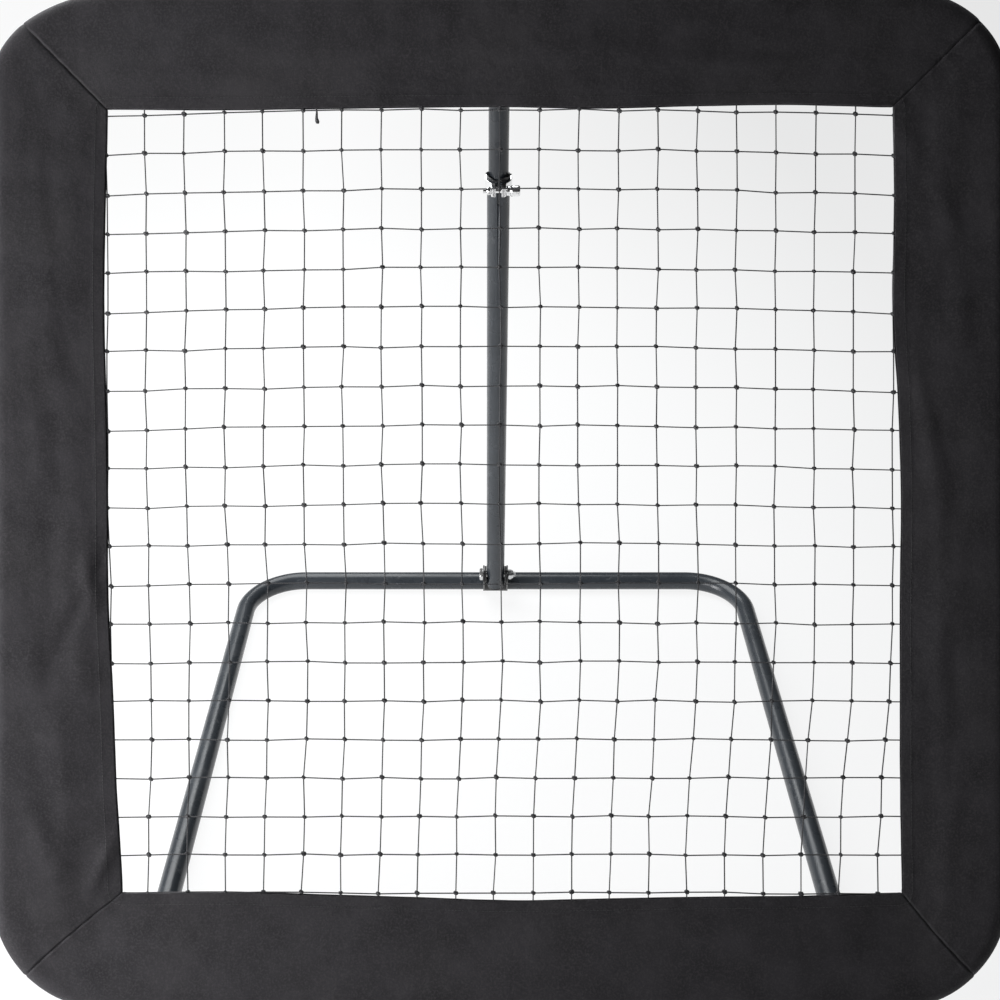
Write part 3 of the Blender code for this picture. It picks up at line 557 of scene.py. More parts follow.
def lock_nut(place, bolt_od, across, height, start):
    """A hexagon nut with a rolled collar over its nylon ring."""
    flat = across / 2
    corner = flat * 1.2
    bore = bolt_od / 2 + 0.0001
    body = start + height * 0.66
    end = start + height
    profile = [(start, bore), (start, flat * 0.96), (start + 0.0004, flat, flat * 1.08)]
    profile += [(start + 0.0009, flat, corner), (body - 0.0006, flat, corner)]
    profile += [(body, flat * 0.99, flat * 1.04), (body + 0.0002, flat * 0.90)]
    profile += [(start + height * 0.88, flat * 0.87), (start + height * 0.97, flat * 0.80)]
    profile += [(end, flat * 0.72), (end, flat * 0.62), (start + height * 0.9, bore)]
    return turned(profile, place, 48)


def plain_ring(place, start, thickness, outer, inner):
    low, high = sorted((start, start + thickness))
    edge = min(0.0005, abs(thickness) / 4)
    profile = [(low, inner), (low, outer - edge), (low + edge, outer)]
    profile += [(high - edge, outer), (high, outer - edge), (high, inner)]
    return turned(profile, place, 44)


zinc = plated("zinc_plating", ((0.56, 0.57, 0.59, 1), (0.68, 0.68, 0.67, 1)), 0.24, 90)
head_height = 0.0050
nut_height = 0.0075
nut_across = 0.87  # as a share of the head's width
thread_past_nut = 0.0030
hinge_spacer = 0.0016
top_spacer = 0.0050
flat_half = 0.0014  # of the strut's pressed end
frame_half = 0.4831  # from the net's middle to a frame tube's middle
tube_middle_back = -0.040
top_reach = (0.038, -0.012)
frame_turn = Matrix.Translation(hinge) @ Matrix.Rotation(-net_lean, 4, "X")
hinge_ear_gap = 2 * tube_radius + 2 * (hinge_spacer + 2 * fit)
top_ear_gap = 2 * flat_half + 2 * (top_spacer + 2 * fit)
foot_axis = Matrix.Translation(strut_pivot)
left_axis = frame_turn @ Matrix.Translation((-leg_place, 0, 0))
right_axis = frame_turn @ Matrix.Translation((leg_place, 0, 0))
top_pivot = Vector((0, tube_middle_back + top_reach[0], 2 * frame_half + top_reach[1]))
top_axis = frame_turn @ Matrix.Translation(top_pivot)
# Each pivot: name, body, axis, the bolt's diameter, the gap of its ears, the head's width.
pivots = (
    ("strut_pivot", "stand", foot_axis, 0.0080, strut_ear_gap, 0.0150),
    ("hinge_left", "net_frame", left_axis, 0.0080, hinge_ear_gap, 0.0150),
    ("hinge_right", "net_frame", right_axis, 0.0080, hinge_ear_gap, 0.0150),
    ("strut_top", "net_frame", top_axis, 0.0060, top_ear_gap, 0.0105),
)
for number, (name, body, place, bolt_od, ear_gap, across) in enumerate(pivots):
    grip = ear_gap + 2 * sheet_steel
    head_place = place @ Matrix.Rotation(0.35 + 0.5 * number, 4, "X")
    tail = fit + nut_height + thread_past_nut
    shape = hex_bolt(head_place, bolt_od, grip, across, head_height, tail)
    settle(name + "_hex_bolt", shape, zinc, body, [name + "_bolt"], angle=28)
    nut_place = place @ Matrix.Rotation(0.2 + 0.4 * number, 4, "X")
    shape = lock_nut(nut_place, bolt_od, across * nut_across, nut_height, grip / 2 + fit)
    settle(name + "_lock_nut", shape, zinc, body, [name + "_nut"], angle=28)
# Each spacer: name, body, axis, place along it, thickness, outer and inner radius.
rings = [
    ("strut_spacer_left", "stand", foot_axis, -tube_radius - fit, -strut_spacer, 0.0120, 0.0043),
    ("strut_spacer_right", "stand", foot_axis, tube_radius + fit, strut_spacer, 0.0120, 0.0043),
    ("strut_top_spacer_left", "net_frame", top_axis, -flat_half - fit, -top_spacer, 0.0095, 0.0033),
    ("strut_top_spacer_right", "net_frame", top_axis, flat_half + fit, top_spacer, 0.0095, 0.0033),
]
for axis, hand, side in ((left_axis, "left", -1), (right_axis, "right", 1)):
    for edge, way in (("outer", side), ("inner", -side)):
        name = "hinge_spacer_" + hand + "_" + edge
        place = way * (tube_radius + fit)
        rings.append((name, "net_frame", axis, place, way * hinge_spacer, 0.0100, 0.0043))
for name, body, axis, place, thickness, outer, inner in rings:
    shape = plain_ring(axis, place, thickness, outer, inner)
    settle(name + "_ring", shape, black_plastic, body, [name])

# Hinge brackets and the strut's top bracket ----------------------------------------------------
# The same black steel saddles, welded on the bottom and top tubes of the frame. Their ears come
# out through openings at the back of the fabric cover.
hinge_reach = (-tube_middle_back, 0.0)
for side, hand in ((-1, "left"), (1, "right")):
    place = frame_turn @ Matrix.Translation((side * leg_place, tube_middle_back, 0))
    name = "hinge_bracket_" + hand
    put_bracket("hinge_ears_" + hand, "net_frame", place, hinge_reach, hinge_ear_gap, 0.011, name)
place = frame_turn @ Matrix.Translation((0, tube_middle_back, 2 * frame_half))
put_bracket("top_ears", "net_frame", place, top_reach, top_ear_gap, 0.009, "strut_top_bracket")

# Frame tubes, border rope and ties -------------------------------------------------------------
# Four straight tubes and four bends, pushed into each other, carry the net. A braided rope runs
# round the net and is held to the tubes by black straps. All of it lies inside the cover.
rope_black = Finish(
    "border_rope_black", ((0.012, 0.012, 0.013, 1), (0.022, 0.022, 0.024, 1)), 300,
    {"Roughness": 0.7},
)
rope_black.bump(rope_black.noise(900, 2), 0.0002)
for name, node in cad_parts.items():
    finish = None
    if name.startswith("frame_"):
        finish = slate_coat
    elif name == "border_rope":
        finish = rope_black
    elif name.startswith("net_tie_"):
        finish = black_plastic
    if finish:
        node.data.materials.clear()
        node.data.materials.append(finish.material)

# Net ------------------------------------------------------------------------------------------
# Black polyethylene twine, 1.3 mm thick, knotted by machine into squares of 39 mm. The outer
# meshes run on inside the cover to the border rope, and every row hangs a little uneven.
net_rows = 10  # knots each way from the middle one
rope_reach = 0.4297  # from the net's middle to the border rope's
bow_half = 0.392  # where a row's bow runs out
middle_knot = -0.0076  # height of the middle row
mesh_height = 0.03824
mesh_growth = 0.000042  # of the height, upward from row to row
# Read at nine even heights, from the top row to the lowest: the width of a mesh, how far its
# middle lies to the right, and how far the row is bowed up in its middle.
mesh_widths = (0.03888, 0.03873, 0.03868, 0.03868, 0.03863, 0.03848, 0.03825, 0.03788, 0.03775)
row_shifts = (0.0001, 0.0002, 0.0001, -0.0003, 0.0002, 0.0018, 0.0008, -0.0036, -0.0060)
row_bows = (0.0062, 0.0060, 0.0062, 0.0054, 0.0046, 0.0026, 0.0011, 0.0004, 0.0)
net_plane = frame_turn @ Matrix.Translation((0, tube_middle_back, frame_half))


def between(values, share):
    """A smooth curve through evenly spaced values, read at a share of its length."""
    at = min(max(share, 0.0), 1.0) * (len(values) - 1)
    i = min(int(at), len(values) - 2)
    t = at - i
    before = values[max(i - 1, 0)]
    after = values[min(i + 2, len(values) - 1)]
    a, b = values[i], values[i + 1]
    third = 3 * (a - b) + after - before
    second = 2 * before - 5 * a + 4 * b - after
    return a + 0.5 * t * (b - before + t * (second + t * third))


def knot_place(i, j):
    """Where a knot lies in the net's plane."""
    share = (net_rows - j) / (2 * net_rows)
    x = i * between(mesh_widths, share) + between(row_shifts, share)
    z = middle_knot + mesh_height * j + mesh_growth * j * j
    z += between(row_bows, share) * (1 - (x / bow_half) ** 2)
    if abs(i) > net_rows:
        x = math.copysign(rope_reach, i)
    if abs(j) > net_rows:
        z = math.copysign(rope_reach, j)
    return Vector((x, 0, z))


def knot_shape(size, twine_radius):
    """A small hard knot: one bight laid flat, and another drawn tight through it."""
    shape = bmesh.new()
    section = [0.6 + math.tau * k / 4 for k in range(4)]
    # Each bight: its tilt and lean, how wide and tall it is, and how far it is shifted.
    bights = ((0.25, 0.55, 1.05, 0.62, -0.10), (1.35, -0.45, 0.80, 0.66, 0.16))
    for tilt, lean, wide, tall, shift in bights:
        turn = Matrix.Rotation(lean, 3, "Y") @ Matrix.Rotation(tilt, 3, "X")
        rings = []
        for i in range(7):
            a = math.tau * i / 7
            out = Vector((math.cos(a), 0, math.sin(a)))
            middle = Vector((wide * math.cos(a) + shift, 0, tall * math.sin(a) - shift)) * size
            spokes = [out * math.cos(b) + Vector((0, 1, 0)) * math.sin(b) for b in section]
            rings.append([turn @ (middle + spoke * twine_radius * 1.1) for spoke in spokes])
        skin(shape, rings, loop=True)
    bmesh.ops.recalc_face_normals(shape, faces=shape.faces)
    return shape


def node_tree(name, **sockets):
    """A Geometry Nodes tree with those named inputs besides its geometry."""
    made = bpy.data.node_groups.new(name, "GeometryNodeTree")
    made.interface.new_socket(name="Geometry", in_out="INPUT", socket_type="NodeSocketGeometry")
    for socket, kind in sockets.items():
        made.interface.new_socket(name=socket, in_out="INPUT", socket_type="NodeSocket" + kind)
    made.interface.new_socket(name="Geometry", in_out="OUTPUT", socket_type="NodeSocketGeometry")
    return made, add(made, "NodeGroupInput").outputs, add(made, "NodeGroupOutput").inputs


def grown(name, base, tree, values):
    """The plain mesh that a tree grows on a base mesh, with its named inputs set first."""
    thing = bpy.data.objects.new(name + "_base", base)
    bpy.context.scene.collection.objects.link(thing)
    step = thing.modifiers.new("nodes", "NODES")
    step.node_group = tree
    for item in tree.interface.items_tree:
        if item.item_type == "SOCKET" and item.in_out == "INPUT" and item.name in values:
            step[item.identifier] = values[item.name]
    bpy.context.view_layer.update()
    graph = bpy.context.evaluated_depsgraph_get()
    made = bpy.data.meshes.new_from_object(thing.evaluated_get(graph))
    made.name = name
    thing.modifiers.clear()
    bpy.data.objects.remove(thing)
    return made


def scatter(tree, given, low, high):
    """A seeded random vector for each point."""
    inputs = {0: low, 1: high, "Seed": given["Seed"]}
    return add(tree, "FunctionNodeRandomValue", inputs, data_type="FLOAT_VECTOR").outputs[0]


def close_tree(tree, given, result, geometry):
    """The end of a tree: real geometry, smooth, in the finish that was given."""
    real = add(tree, "GeometryNodeRealizeInstances", {"Geometry": geometry}).outputs[0]
    smooth = add(tree, "GeometryNodeSetShadeSmooth", {"Geometry": real}).outputs[0]
    inputs = {"Geometry": smooth, "Material": given["Finish"]}
    tree.links.new(add(tree, "GeometryNodeSetMaterial", inputs).outputs[0], result[0])


def twine_finish():
    """Shiny polyethylene fibre with its lay running aslant round the twine."""
    colours = ((0.016, 0.016, 0.018, 1), (0.030, 0.030, 0.033, 1))
    made = Finish("net_twine_black", colours, 400, {"Specular IOR Level": 0.5})
    lay = {0: made.place, 1: (2856, 1428, 2473)}
    along = made.add("ShaderNodeVectorMath", lay, operation="DOT_PRODUCT").outputs["Value"]
    made.bump(made.math("SINE", along), 0.00014)
    made.bump(made.noise(2500, 2), 0.00008)
    made.roughen(made.noise(600, 2), 0.46, 0.62)
    return made


twine_black = twine_finish()
tree, given, result = node_tree(
    "net_knotting", Twine="Float", Unevenness="Float", Knot="Object", Seed="Int", Finish="Material"
)
loose = add(
    tree, "GeometryNodeInputNamedAttribute", {"Name": "loose"}, data_type="FLOAT"
).outputs["Attribute"]
stray = scatter(tree, given, (-1, -0.35, -1), (1, 0.35, 1))
strayed = {0: stray, "Scale": combine(tree, "MULTIPLY", loose, given["Unevenness"])}
offset = add(tree, "ShaderNodeVectorMath", strayed, operation="SCALE").outputs[0]
moved = {"Geometry": given["Geometry"], "Offset": offset}
hung = add(tree, "GeometryNodeSetPosition", moved).outputs[0]
lines = add(tree, "GeometryNodeMeshToCurve", {"Mesh": hung}).outputs[0]
six_sided = {"Resolution": 6, "Radius": combine(tree, "MULTIPLY", given["Twine"], 0.5)}
section = add(tree, "GeometryNodeCurvePrimitiveCircle", six_sided).outputs[0]
drawn = {"Curve": lines, "Profile Curve": section, "Fill Caps": True}
strands = add(tree, "GeometryNodeCurveToMesh", drawn).outputs[0]
knot = add(tree, "GeometryNodeObjectInfo", {"Object": given["Knot"]}).outputs["Geometry"]
sway = scatter(tree, given, (-0.3, -0.45, -0.3), (0.3, 0.45, 0.3))
sizes = {2: 0.88, 3: 1.16, "Seed": given["Seed"]}
bulk = add(tree, "FunctionNodeRandomValue", sizes, data_type="FLOAT").outputs[1]
tied = {"Points": hung, "Selection": combine(tree, "GREATER_THAN", loose, 0.5)}
tied |= {"Instance": knot, "Rotation": sway, "Scale": bulk}
knots = add(tree, "GeometryNodeInstanceOnPoints", tied)
parts = add(tree, "GeometryNodeJoinGeometry")
tree.links.new(strands, parts.inputs[0])
tree.links.new(knots.outputs[0], parts.inputs[0])
close_tree(tree, given, result, parts.outputs[0])

span = range(-net_rows - 1, net_rows + 2)
count = len(span)
points = [knot_place(i, j) for j in span for i in span]
edges = [(j * count + i, j * count + i + 1) for j in range(count) for i in range(count - 1)]
edges += [(j * count + i, (j + 1) * count + i) for j in range(count - 1) for i in range(count)]
lattice = bpy.data.meshes.new("net_lattice")
lattice.from_pydata(points, edges, [])
free = lattice.attributes.new("loose", "FLOAT", "POINT")
shown = [float(max(abs(i), abs(j)) <= net_rows) for j in span for i in span]
free.data.foreach_set("value", shown)
knot_thing = helper_object("knot", knot_shape(size=0.00164, twine_radius=0.00110))
values = {"Twine": 0.0013, "Unevenness": 0.0011, "Knot": knot_thing, "Seed": 11}
values["Finish"] = twine_black.material
net_mesh = grown("knotted_net", lattice, tree, values)
bpy.data.objects.remove(knot_thing)
net_mesh.transform(net_plane)
settle("knotted_net", net_mesh, twine_black, "net_frame", ["net"], angle=60)

# A short end of the tying twine was left hanging from the top edge, fused at its tip.
tail_top = (-0.1806, -0.0012, 0.3868)
# Down the tail: how far it has strayed sideways, its height, and its radius.
tail = ((0.0, 0.0, 0.0007), (0.0004, -0.005, 0.0010), (0.0002, -0.010, 0.0014))
tail += ((0.0009, -0.0135, 0.0021), (0.0012, -0.0155, 0.0015))
rings = []
for x, z, radius in tail:
    ring = [(tail_top[0] + x + a, tail_top[1] + b, tail_top[2] + z) for a, b in circle(radius, 8)]
    rings.append([net_plane @ Vector(point) for point in ring])
settle("twine_end", solid(rings, caps=True), twine_black, "net_frame", angle=60)

# Fabric cover ---------------------------------------------------------------------------------
# Four lengths of charcoal polyester canvas, cut with mitred ends and sewn together at the
# corners. Each goes round its tube, and its two hems close on the net at the window's edge.
fan_half = 0.3820  # from the window's middle to the corners' fans
fan_radius = 0.1011  # from a fan's middle to the tube's
window_inset = 0.0070
roll_radius = 0.0161  # of the cloth round the tube
mouth_half = 0.0020  # from the net's plane to a hem
canvas_thickness = 0.0014
hem_width = 0.0120
hem_step = 0.00014  # how much the doubled cloth of the hem stands up
hem_edge = 0.0016  # over how much of the cloth it rises
billow = 0.0008  # of each face, in its middle
corner_reach = 0.118  # from a fan's middle to the rim
mitre_arc = 0.06  # how much cloth a radian of the corner's fan takes
valley_depth = (0.0012, 0.0008)  # at the window, and what it gains toward the rim
ridge = 0.0002  # of the seam's allowance, beside the valley
ridge_place = 0.0024
ridge_width = 0.0010
pucker = 0.00045  # of the cloth along the seam
# How far each hem has crept into the window, in millimetres, from one mitre to the next: the
# top from left to right, the right side downwards, the bottom from right to left, and the left
# side upwards.
hem_creep = (
    (3.0, 3.7, 2.7, 1.3, 0.5, 2.0, -0.3, -1.6, 0.6),
    (1.6, 0.2, 2.0, -3.6, -6.4, -5.3, -5.4, -5.6, -7.2),
    (2.6, -0.4, -1.3, -3.0, -4.8, -1.7, 1.2, 3.9, 3.0),
    (16.7, 11.2, 7.5, 2.9, 2.6, 1.0, -1.2, 0.0, 2.2),
)
# How far the cloth stands off the bend of the tube after each side, and how much more of that
# lies on this side of the mitre than on the next.
corner_fullness = ((0.0088, 0.0), (0.0006, 0.0), (0.0004, 0.0), (0.0043, 1.5))
# The mitres' valleys, at each side's start and at its end: the half width at the window in
# millimetres, and what it gains toward the rim.
valleys = (
    ((0.6, 0.2), (1.5, 1.2)),
    ((0.6, 0.2), (1.0, 0.4)),
    ((0.9, 0.3), (0.8, 0.3)),
    ((0.9, 0.3), (1.6, 2.6)),
)
# Soft folds that lie in the cloth: side, place along it, distance from the hem, length, width,
# slant and height.
soft_folds = (
    (3, -0.080, 0.016, 0.030, 0.0075, 0.06, 0.0032),
    (3, -0.115, 0.030, 0.080, 0.0070, -0.45, -0.0016),
    (3, -0.360, 0.014, 0.030, 0.0060, -0.40, 0.0034),
    (3, -0.330, 0.060, 0.050, 0.0100, 0.40, 0.0016),
    (3, -0.230, 0.050, 0.110, 0.0120, 0.20, 0.0012),
    (3, 0.180, 0.055, 0.120, 0.0130, -0.10, 0.0011),
    (1, -0.060, 0.030, 0.100, 0.0110, 0.16, 0.0016),
    (1, 0.110, 0.045, 0.120, 0.0130, -0.20, 0.0013),
    (1, -0.300, 0.040, 0.070, 0.0100, 0.50, 0.0012),
    (0, -0.150, 0.050, 0.160, 0.0140, 0.05, 0.0012),
    (0, 0.200, 0.040, 0.130, 0.0120, -0.08, 0.0010),
    (2, 0.240, 0.040, 0.140, 0.0120, 0.10, 0.0012),
    (2, -0.100, 0.055, 0.160, 0.0140, -0.06, 0.0010),
)


def hem_shift(side, x):
    """How the hem has moved there: along its side, and outward from the window."""
    share = min(max((x / fan_half + 1) / 2, 0.0), 1.0)
    start = hem_creep[side - 1][-1]
    end = -hem_creep[(side + 1) % 4][0]
    return (start + (end - start) * share) / 1000, -between(hem_creep[side], share) / 1000


def folds(side, x, q, length, face):
    """The cloth's own unevenness, outward from the flat: broad, middling and fine waves, and then
    the soft folds, of which the tall ones are in the front face only."""
    easy = math.sin(math.pi * min(1.0, q / length)) ** 1.4
    seed = side * 17.0 + (5.0 if face > 0 else 0.0)
    height = 0.0026 * easy * noise.noise(Vector((x * 5.5, q * 24, seed)))
    height += 0.0011 * easy * noise.noise(Vector((x * 15, q * 55, seed + 3)))
    height += 0.0005 * noise.noise(Vector((x * 30, q * 9, seed + 7))) * (1 - 0.6 * easy)
    for on, along, far, long, wide, slant, rise in soft_folds:
        if on != side or (face > 0 and rise > 0.002):
            continue
        u = (x - along) / long
        if abs(u) > 2:
            continue
        v = (q - far - slant * (x - along)) / wide
        height += rise * math.exp(-u * u * 1.6 - v * v) * min(1.0, q / 0.006 + 0.35)
    return height


def face_slope(inner):
    """How steeply a face of the cover opens, from the window's edge out to the tube."""
    return math.asin((roll_radius - mouth_half) / (fan_radius - inner))


def cover_point(side, x, turn, t, lift=0.0):
    """A point of the cover's middle surface, in the net plane's own frame. x runs along the side,
    and turn round the fan at its ends. t runs from 0 at the front hem to 1 where the cloth meets
    the tube, 2 where it leaves it at the back, and 3 at the back hem."""
    inner = window_inset / math.cos(turn)
    slope = face_slope(inner)
    touch = Vector((fan_radius - roll_radius * math.sin(slope), -roll_radius * math.cos(slope)))
    hem = Vector((inner, -mouth_half))
    length = (touch - hem).length
    face = -1 if t < 1.5 else 1
    share = min(t, 3 - t)
    if share <= 1:
        flat = hem.lerp(touch, share)
        way = (touch - hem).normalized()
        normal = Vector((way.y, -way.x))
        q = share * length
    else:
        around = -math.pi / 2 - slope + (math.pi + 2 * slope) * (t - 1)
        normal = Vector((math.cos(around), -abs(math.sin(around))))
        flat = Vector((fan_radius, 0)) + normal * roll_radius
        q = length
    a = flat.x
    to_seam = (fan_half - abs(x)) + max(a, 0.004) * (math.pi / 4 - abs(turn))
    out = (a / corner_reach) ** 1.5
    height = billow * math.sin(math.pi * min(1.0, q / length))
    height += hem_step * min(1.0, max(0.0, (hem_width - q) / hem_edge + 0.5))
    plane_x = x + math.sin(turn) * a
    height += folds(side, plane_x, q, length, face) * min(1.0, 0.25 + to_seam / 0.03)
    fade = 1.0
    if share > 1:
        fade = math.cos(min(1.0, (share - 1) / 0.30) * math.pi / 2) * 0.75 + 0.25
    narrow, growth = valleys[side][1 if turn > 0 else 0]
    valley = (narrow + growth * out) / 1000
    depth = valley_depth[0] + valley_depth[1] * out
    height -= depth * fade * math.exp(-((to_seam / valley) ** 2))
    height += fade * ridge * math.exp(-(((to_seam - ridge_place) / ridge_width) ** 2))
    gathered = pucker * math.sin(a * 350 + side * 2.0)
    height += gathered * math.exp(-to_seam / 0.010) * min(1.0, to_seam / 0.002)
    full, lopsided = corner_fullness[side] if turn > 0 else corner_fullness[side - 1]
    bias = lopsided if turn > 0 else -lopsided
    swell = full * math.sin(2 * abs(turn)) * (1 + bias * math.cos(2 * abs(turn)))
    a += swell * (a / corner_reach) ** 2
    a += normal.x * (height + lift)
    b = (flat.y + normal.y * (height + lift)) * (-1 if face > 0 else 1)
    drawn = max(0.0, 1 - q / length) ** 1.6
    along, outward = hem_shift(side, x)
    across = x + math.sin(turn) * a + along * drawn
    upward = fan_half + math.cos(turn) * a + outward * drawn
    return Matrix.Rotation(side * math.pi / 2, 3, "Y") @ Vector((across, b, upward))


def cover_stations():
    """Where the cloth is sampled along a side: (x, turn) pairs, closer together at the mitres."""
    from_seam = (0, 0.0003, 0.0006, 0.0010, 0.0015, 0.0021, 0.0029, 0.0039, 0.0052)
    from_seam += (0.0068, 0.009, 0.0118, 0.0152, 0.0192, 0.024, 0.030, 0.038)
    turns = [math.pi / 4 - d / mitre_arc for d in from_seam]
    straight = 128
    made = [(-fan_half, -turn) for turn in turns]
    made += [(fan_half * (2 * i / straight - 1), 0.0) for i in range(straight + 1)]
    return made + [(fan_half, turn) for turn in reversed(turns)]


def cover_rows():
    """Where it is sampled round the section, closer together at the hems."""
    hem = (0, 0.006, 0.02, 0.05, 0.085, 0.112, 0.122, 0.130, 0.138, 0.147, 0.16, 0.18)
    front = list(hem) + [0.18 + 0.82 * i / 24 for i in range(1, 25)]
    wrap = [1 + i / 20 for i in range(1, 20)]
    return front + wrap + [3 - t for t in reversed(front)]


def canvas_finish():
    """Coated polyester canvas: a plain weave, cloudy charcoal, with a dull sheen and faint dust."""
    sockets = {"Specular IOR Level": 0.10, "Sheen Weight": 0.12, "Sheen Roughness": 0.35}
    colours = ((0.0165, 0.0157, 0.0174, 1), (0.0275, 0.0263, 0.0290, 1))
    made = Finish("charcoal_canvas", colours, 26, sockets)
    made.shader.inputs["Sheen Tint"].default_value = (0.84, 0.81, 0.86, 1)
    uv = made.add("ShaderNodeUVMap", uv_map="UVMap").outputs[0]
    split = made.add("ShaderNodeSeparateXYZ", {0: uv}).outputs
    thread_pitch = 0.0011
    warp = made.math("SINE", made.math("MULTIPLY", split[0], math.tau / thread_pitch))
    weft = made.math("SINE", made.math("MULTIPLY", split[1], math.tau / thread_pitch))
    weave = made.math("MULTIPLY", warp, weft)
    slub = made.noise(520, 4)
    flecks = made.ramp(slub, 0.46, 0.66)
    made.tint(flecks, 0.55, (0.041, 0.039, 0.041, 1))
    dust = made.ramp(made.noise(11, 5), 0.50, 0.72)
    made.tint(dust, 0.20, (0.048, 0.046, 0.047, 1))
    made.roughen(made.noise(30, 4), 0.55, 0.70)
    made.bump(weave, 0.00008)
    made.bump(slub, 0.00022)
    made.bump(made.noise(70, 4), 0.0009)
    return made


canvas = canvas_finish()
opening_depth = (0.0035, 0.030)  # backward from the net's plane
tall = tube_radius + fit + sheet_steel + 2 * fit
hinge_wide = hinge_ear_gap / 2 + sheet_steel + 2 * fit
top_wide = top_ear_gap / 2 + sheet_steel + 2 * fit
# What is cut out of the cloth behind the tubes, so that the brackets' ears come through: side,
# place along it, half width, and how far down and up the net's plane from the tube's middle.
openings = (
    (2, leg_place, hinge_wide, -tall, tall),
    (2, -leg_place, hinge_wide, -tall, tall),
    (0, 0.0, top_wide, top_reach[1] - tall, tall),
)
stations = cover_stations()
rows = cover_rows()
section_run = [0.0]
for low_t, high_t in zip(rows, rows[1:]):
    near = cover_point(0, 0.02, 0, low_t)
    section_run.append(section_run[-1] + (cover_point(0, 0.02, 0, high_t) - near).length)
for side, name in enumerate(("top", "right", "bottom", "left")):
    shape = bmesh.new()
    grid = []
    for x, turn in stations:
        grid.append([shape.verts.new(net_plane @ cover_point(side, x, turn, t)) for t in rows])
    uv_layer = shape.loops.layers.uv.new("UVMap")
    for i in range(len(stations) - 1):
        for j in range(len(rows) - 1):
            quad = shape.faces.new((grid[i][j], grid[i][j + 1], grid[i + 1][j + 1], grid[i + 1][j]))
            for loop, (k, m) in zip(quad.loops, ((i, j), (i, j + 1), (i + 1, j + 1), (i + 1, j))):
                x, turn = stations[k]
                loop[uv_layer].uv = (x + turn * mitre_arc, section_run[m])
    bmesh.ops.recalc_face_normals(shape, faces=shape.faces)
    cutters = []
    turn_side = Matrix.Rotation(side * math.pi / 2, 4, "Y")
    for on, x, wide, low, high in openings:
        if on == side:
            place = net_plane @ turn_side @ Matrix.Translation((x, 0, frame_half))
            if side == 2:
                low, high = -high, -low
            outline = [(-wide, low), (wide, low), (wide, high), (-wide, high)]
            cutters.append(helper_object("opening", extruded(place, outline, 1, *opening_depth)))

    def thicken_and_open(piece, cutters=cutters):
        wall = piece.modifiers.new("thickness", "SOLIDIFY")
        wall.thickness = canvas_thickness
        wall.offset = 0.0
        for cutter in cutters:
            boolean(piece, cutter)

    made = settle(
        "canvas_" + name, shape, canvas, "net_frame", ["cover_" + name], angle=50,
        steps=thicken_and_open,
    )
    for cutter in cutters:
        bpy.data.objects.remove(cutter)

# Stitching of the hems: one row of black thread, 10 mm from each edge, front and back. It stops
# short of the mitres.
stitch_row = 0.108  # as a share of the flat face
left_out = 8  # stations at each mitre
thread_lift = 0.0008  # off the cloth's middle surface
hem_lines = []
hem_edges = []
for side in range(4):
    for t_of in (lambda q: q, lambda q: 3 - q):
        first = len(hem_lines)
        for x, turn in stations[left_out:-left_out]:
            point = cover_point(side, x, turn, t_of(stitch_row), thread_lift)
            hem_lines.append(net_plane @ point)
        hem_edges += [(k, k + 1) for k in range(first, len(hem_lines) - 1)]
seams = bpy.data.meshes.new("hem_lines")
seams.from_pydata(hem_lines, hem_edges, [])
tree, given, result = node_tree(
    "row_of_stitches", Pitch="Float", Stitch="Object", Finish="Material"
)
run = add(tree, "GeometryNodeMeshToCurve", {"Mesh": given["Geometry"]}).outputs[0]
spacing = {"Curve": run, "Length": given["Pitch"]}
evenly = add(tree, "GeometryNodeResampleCurve", spacing, mode="LENGTH").outputs[0]
along_line = add(tree, "GeometryNodeInputTangent").outputs[0]
aligned = add(
    tree, "FunctionNodeAlignRotationToVector", {"Vector": along_line}, axis="X"
).outputs[0]
stitch = add(tree, "GeometryNodeObjectInfo", {"Object": given["Stitch"]}).outputs["Geometry"]
on_line = {"Points": evenly, "Instance": stitch, "Rotation": aligned}
laid = add(tree, "GeometryNodeInstanceOnPoints", on_line).outputs[0]
close_tree(tree, given, result, laid)
# Along one stitch: the place, the thread's radius, and how far it dips into the cloth.
thread = [(-0.00135, 0.00010, -0.0003), (-0.0010, 0.00026, 0.0)]
thread += [(0.0010, 0.00026, 0.0), (0.00135, 0.00010, -0.0003)]
rings = [[Vector((x, a, b + dip)) for a, b in circle(radius, 6)] for x, radius, dip in thread]
stitch_thing = helper_object("stitch", solid(rings, caps=True))
colours = ((0.012, 0.012, 0.013, 1), (0.020, 0.020, 0.021, 1))
thread_black = Finish("sewing_thread_black", colours, 700, {"Roughness": 0.5})
thread_black.bump(thread_black.noise(3000, 2), 0.00008)
values = {"Pitch": 0.0033, "Stitch": stitch_thing, "Finish": thread_black.material}
stitch_mesh = grown("hem_stitching", seams, tree, values)
bpy.data.objects.remove(stitch_thing)
settle("hem_stitching", stitch_mesh, thread_black, "net_frame", angle=60)

# Binding round the openings at the back: a folded tape, sewn over the cloth's cut edge.
roll_end = -0.0156  # outward from the tube's middle, where the cloth leaves the tube
face_run = 0.0941  # from the tube's middle to the hem
tape_radius = 0.0012
tape_lift = 0.0002
side_steps = 14


def cloth_at(height):
    """The place t round the section, at the back, where the cloth is that far out."""
    if height > roll_end:
        slope = face_slope(window_inset)
        around = math.acos(min(1.0, max(-1.0, height / roll_radius)))
        return 1 + (around + math.pi / 2 + slope) / (math.pi + 2 * slope)
    return 2 + min(1.0, (-height - 0.002) / face_run) * 0.97


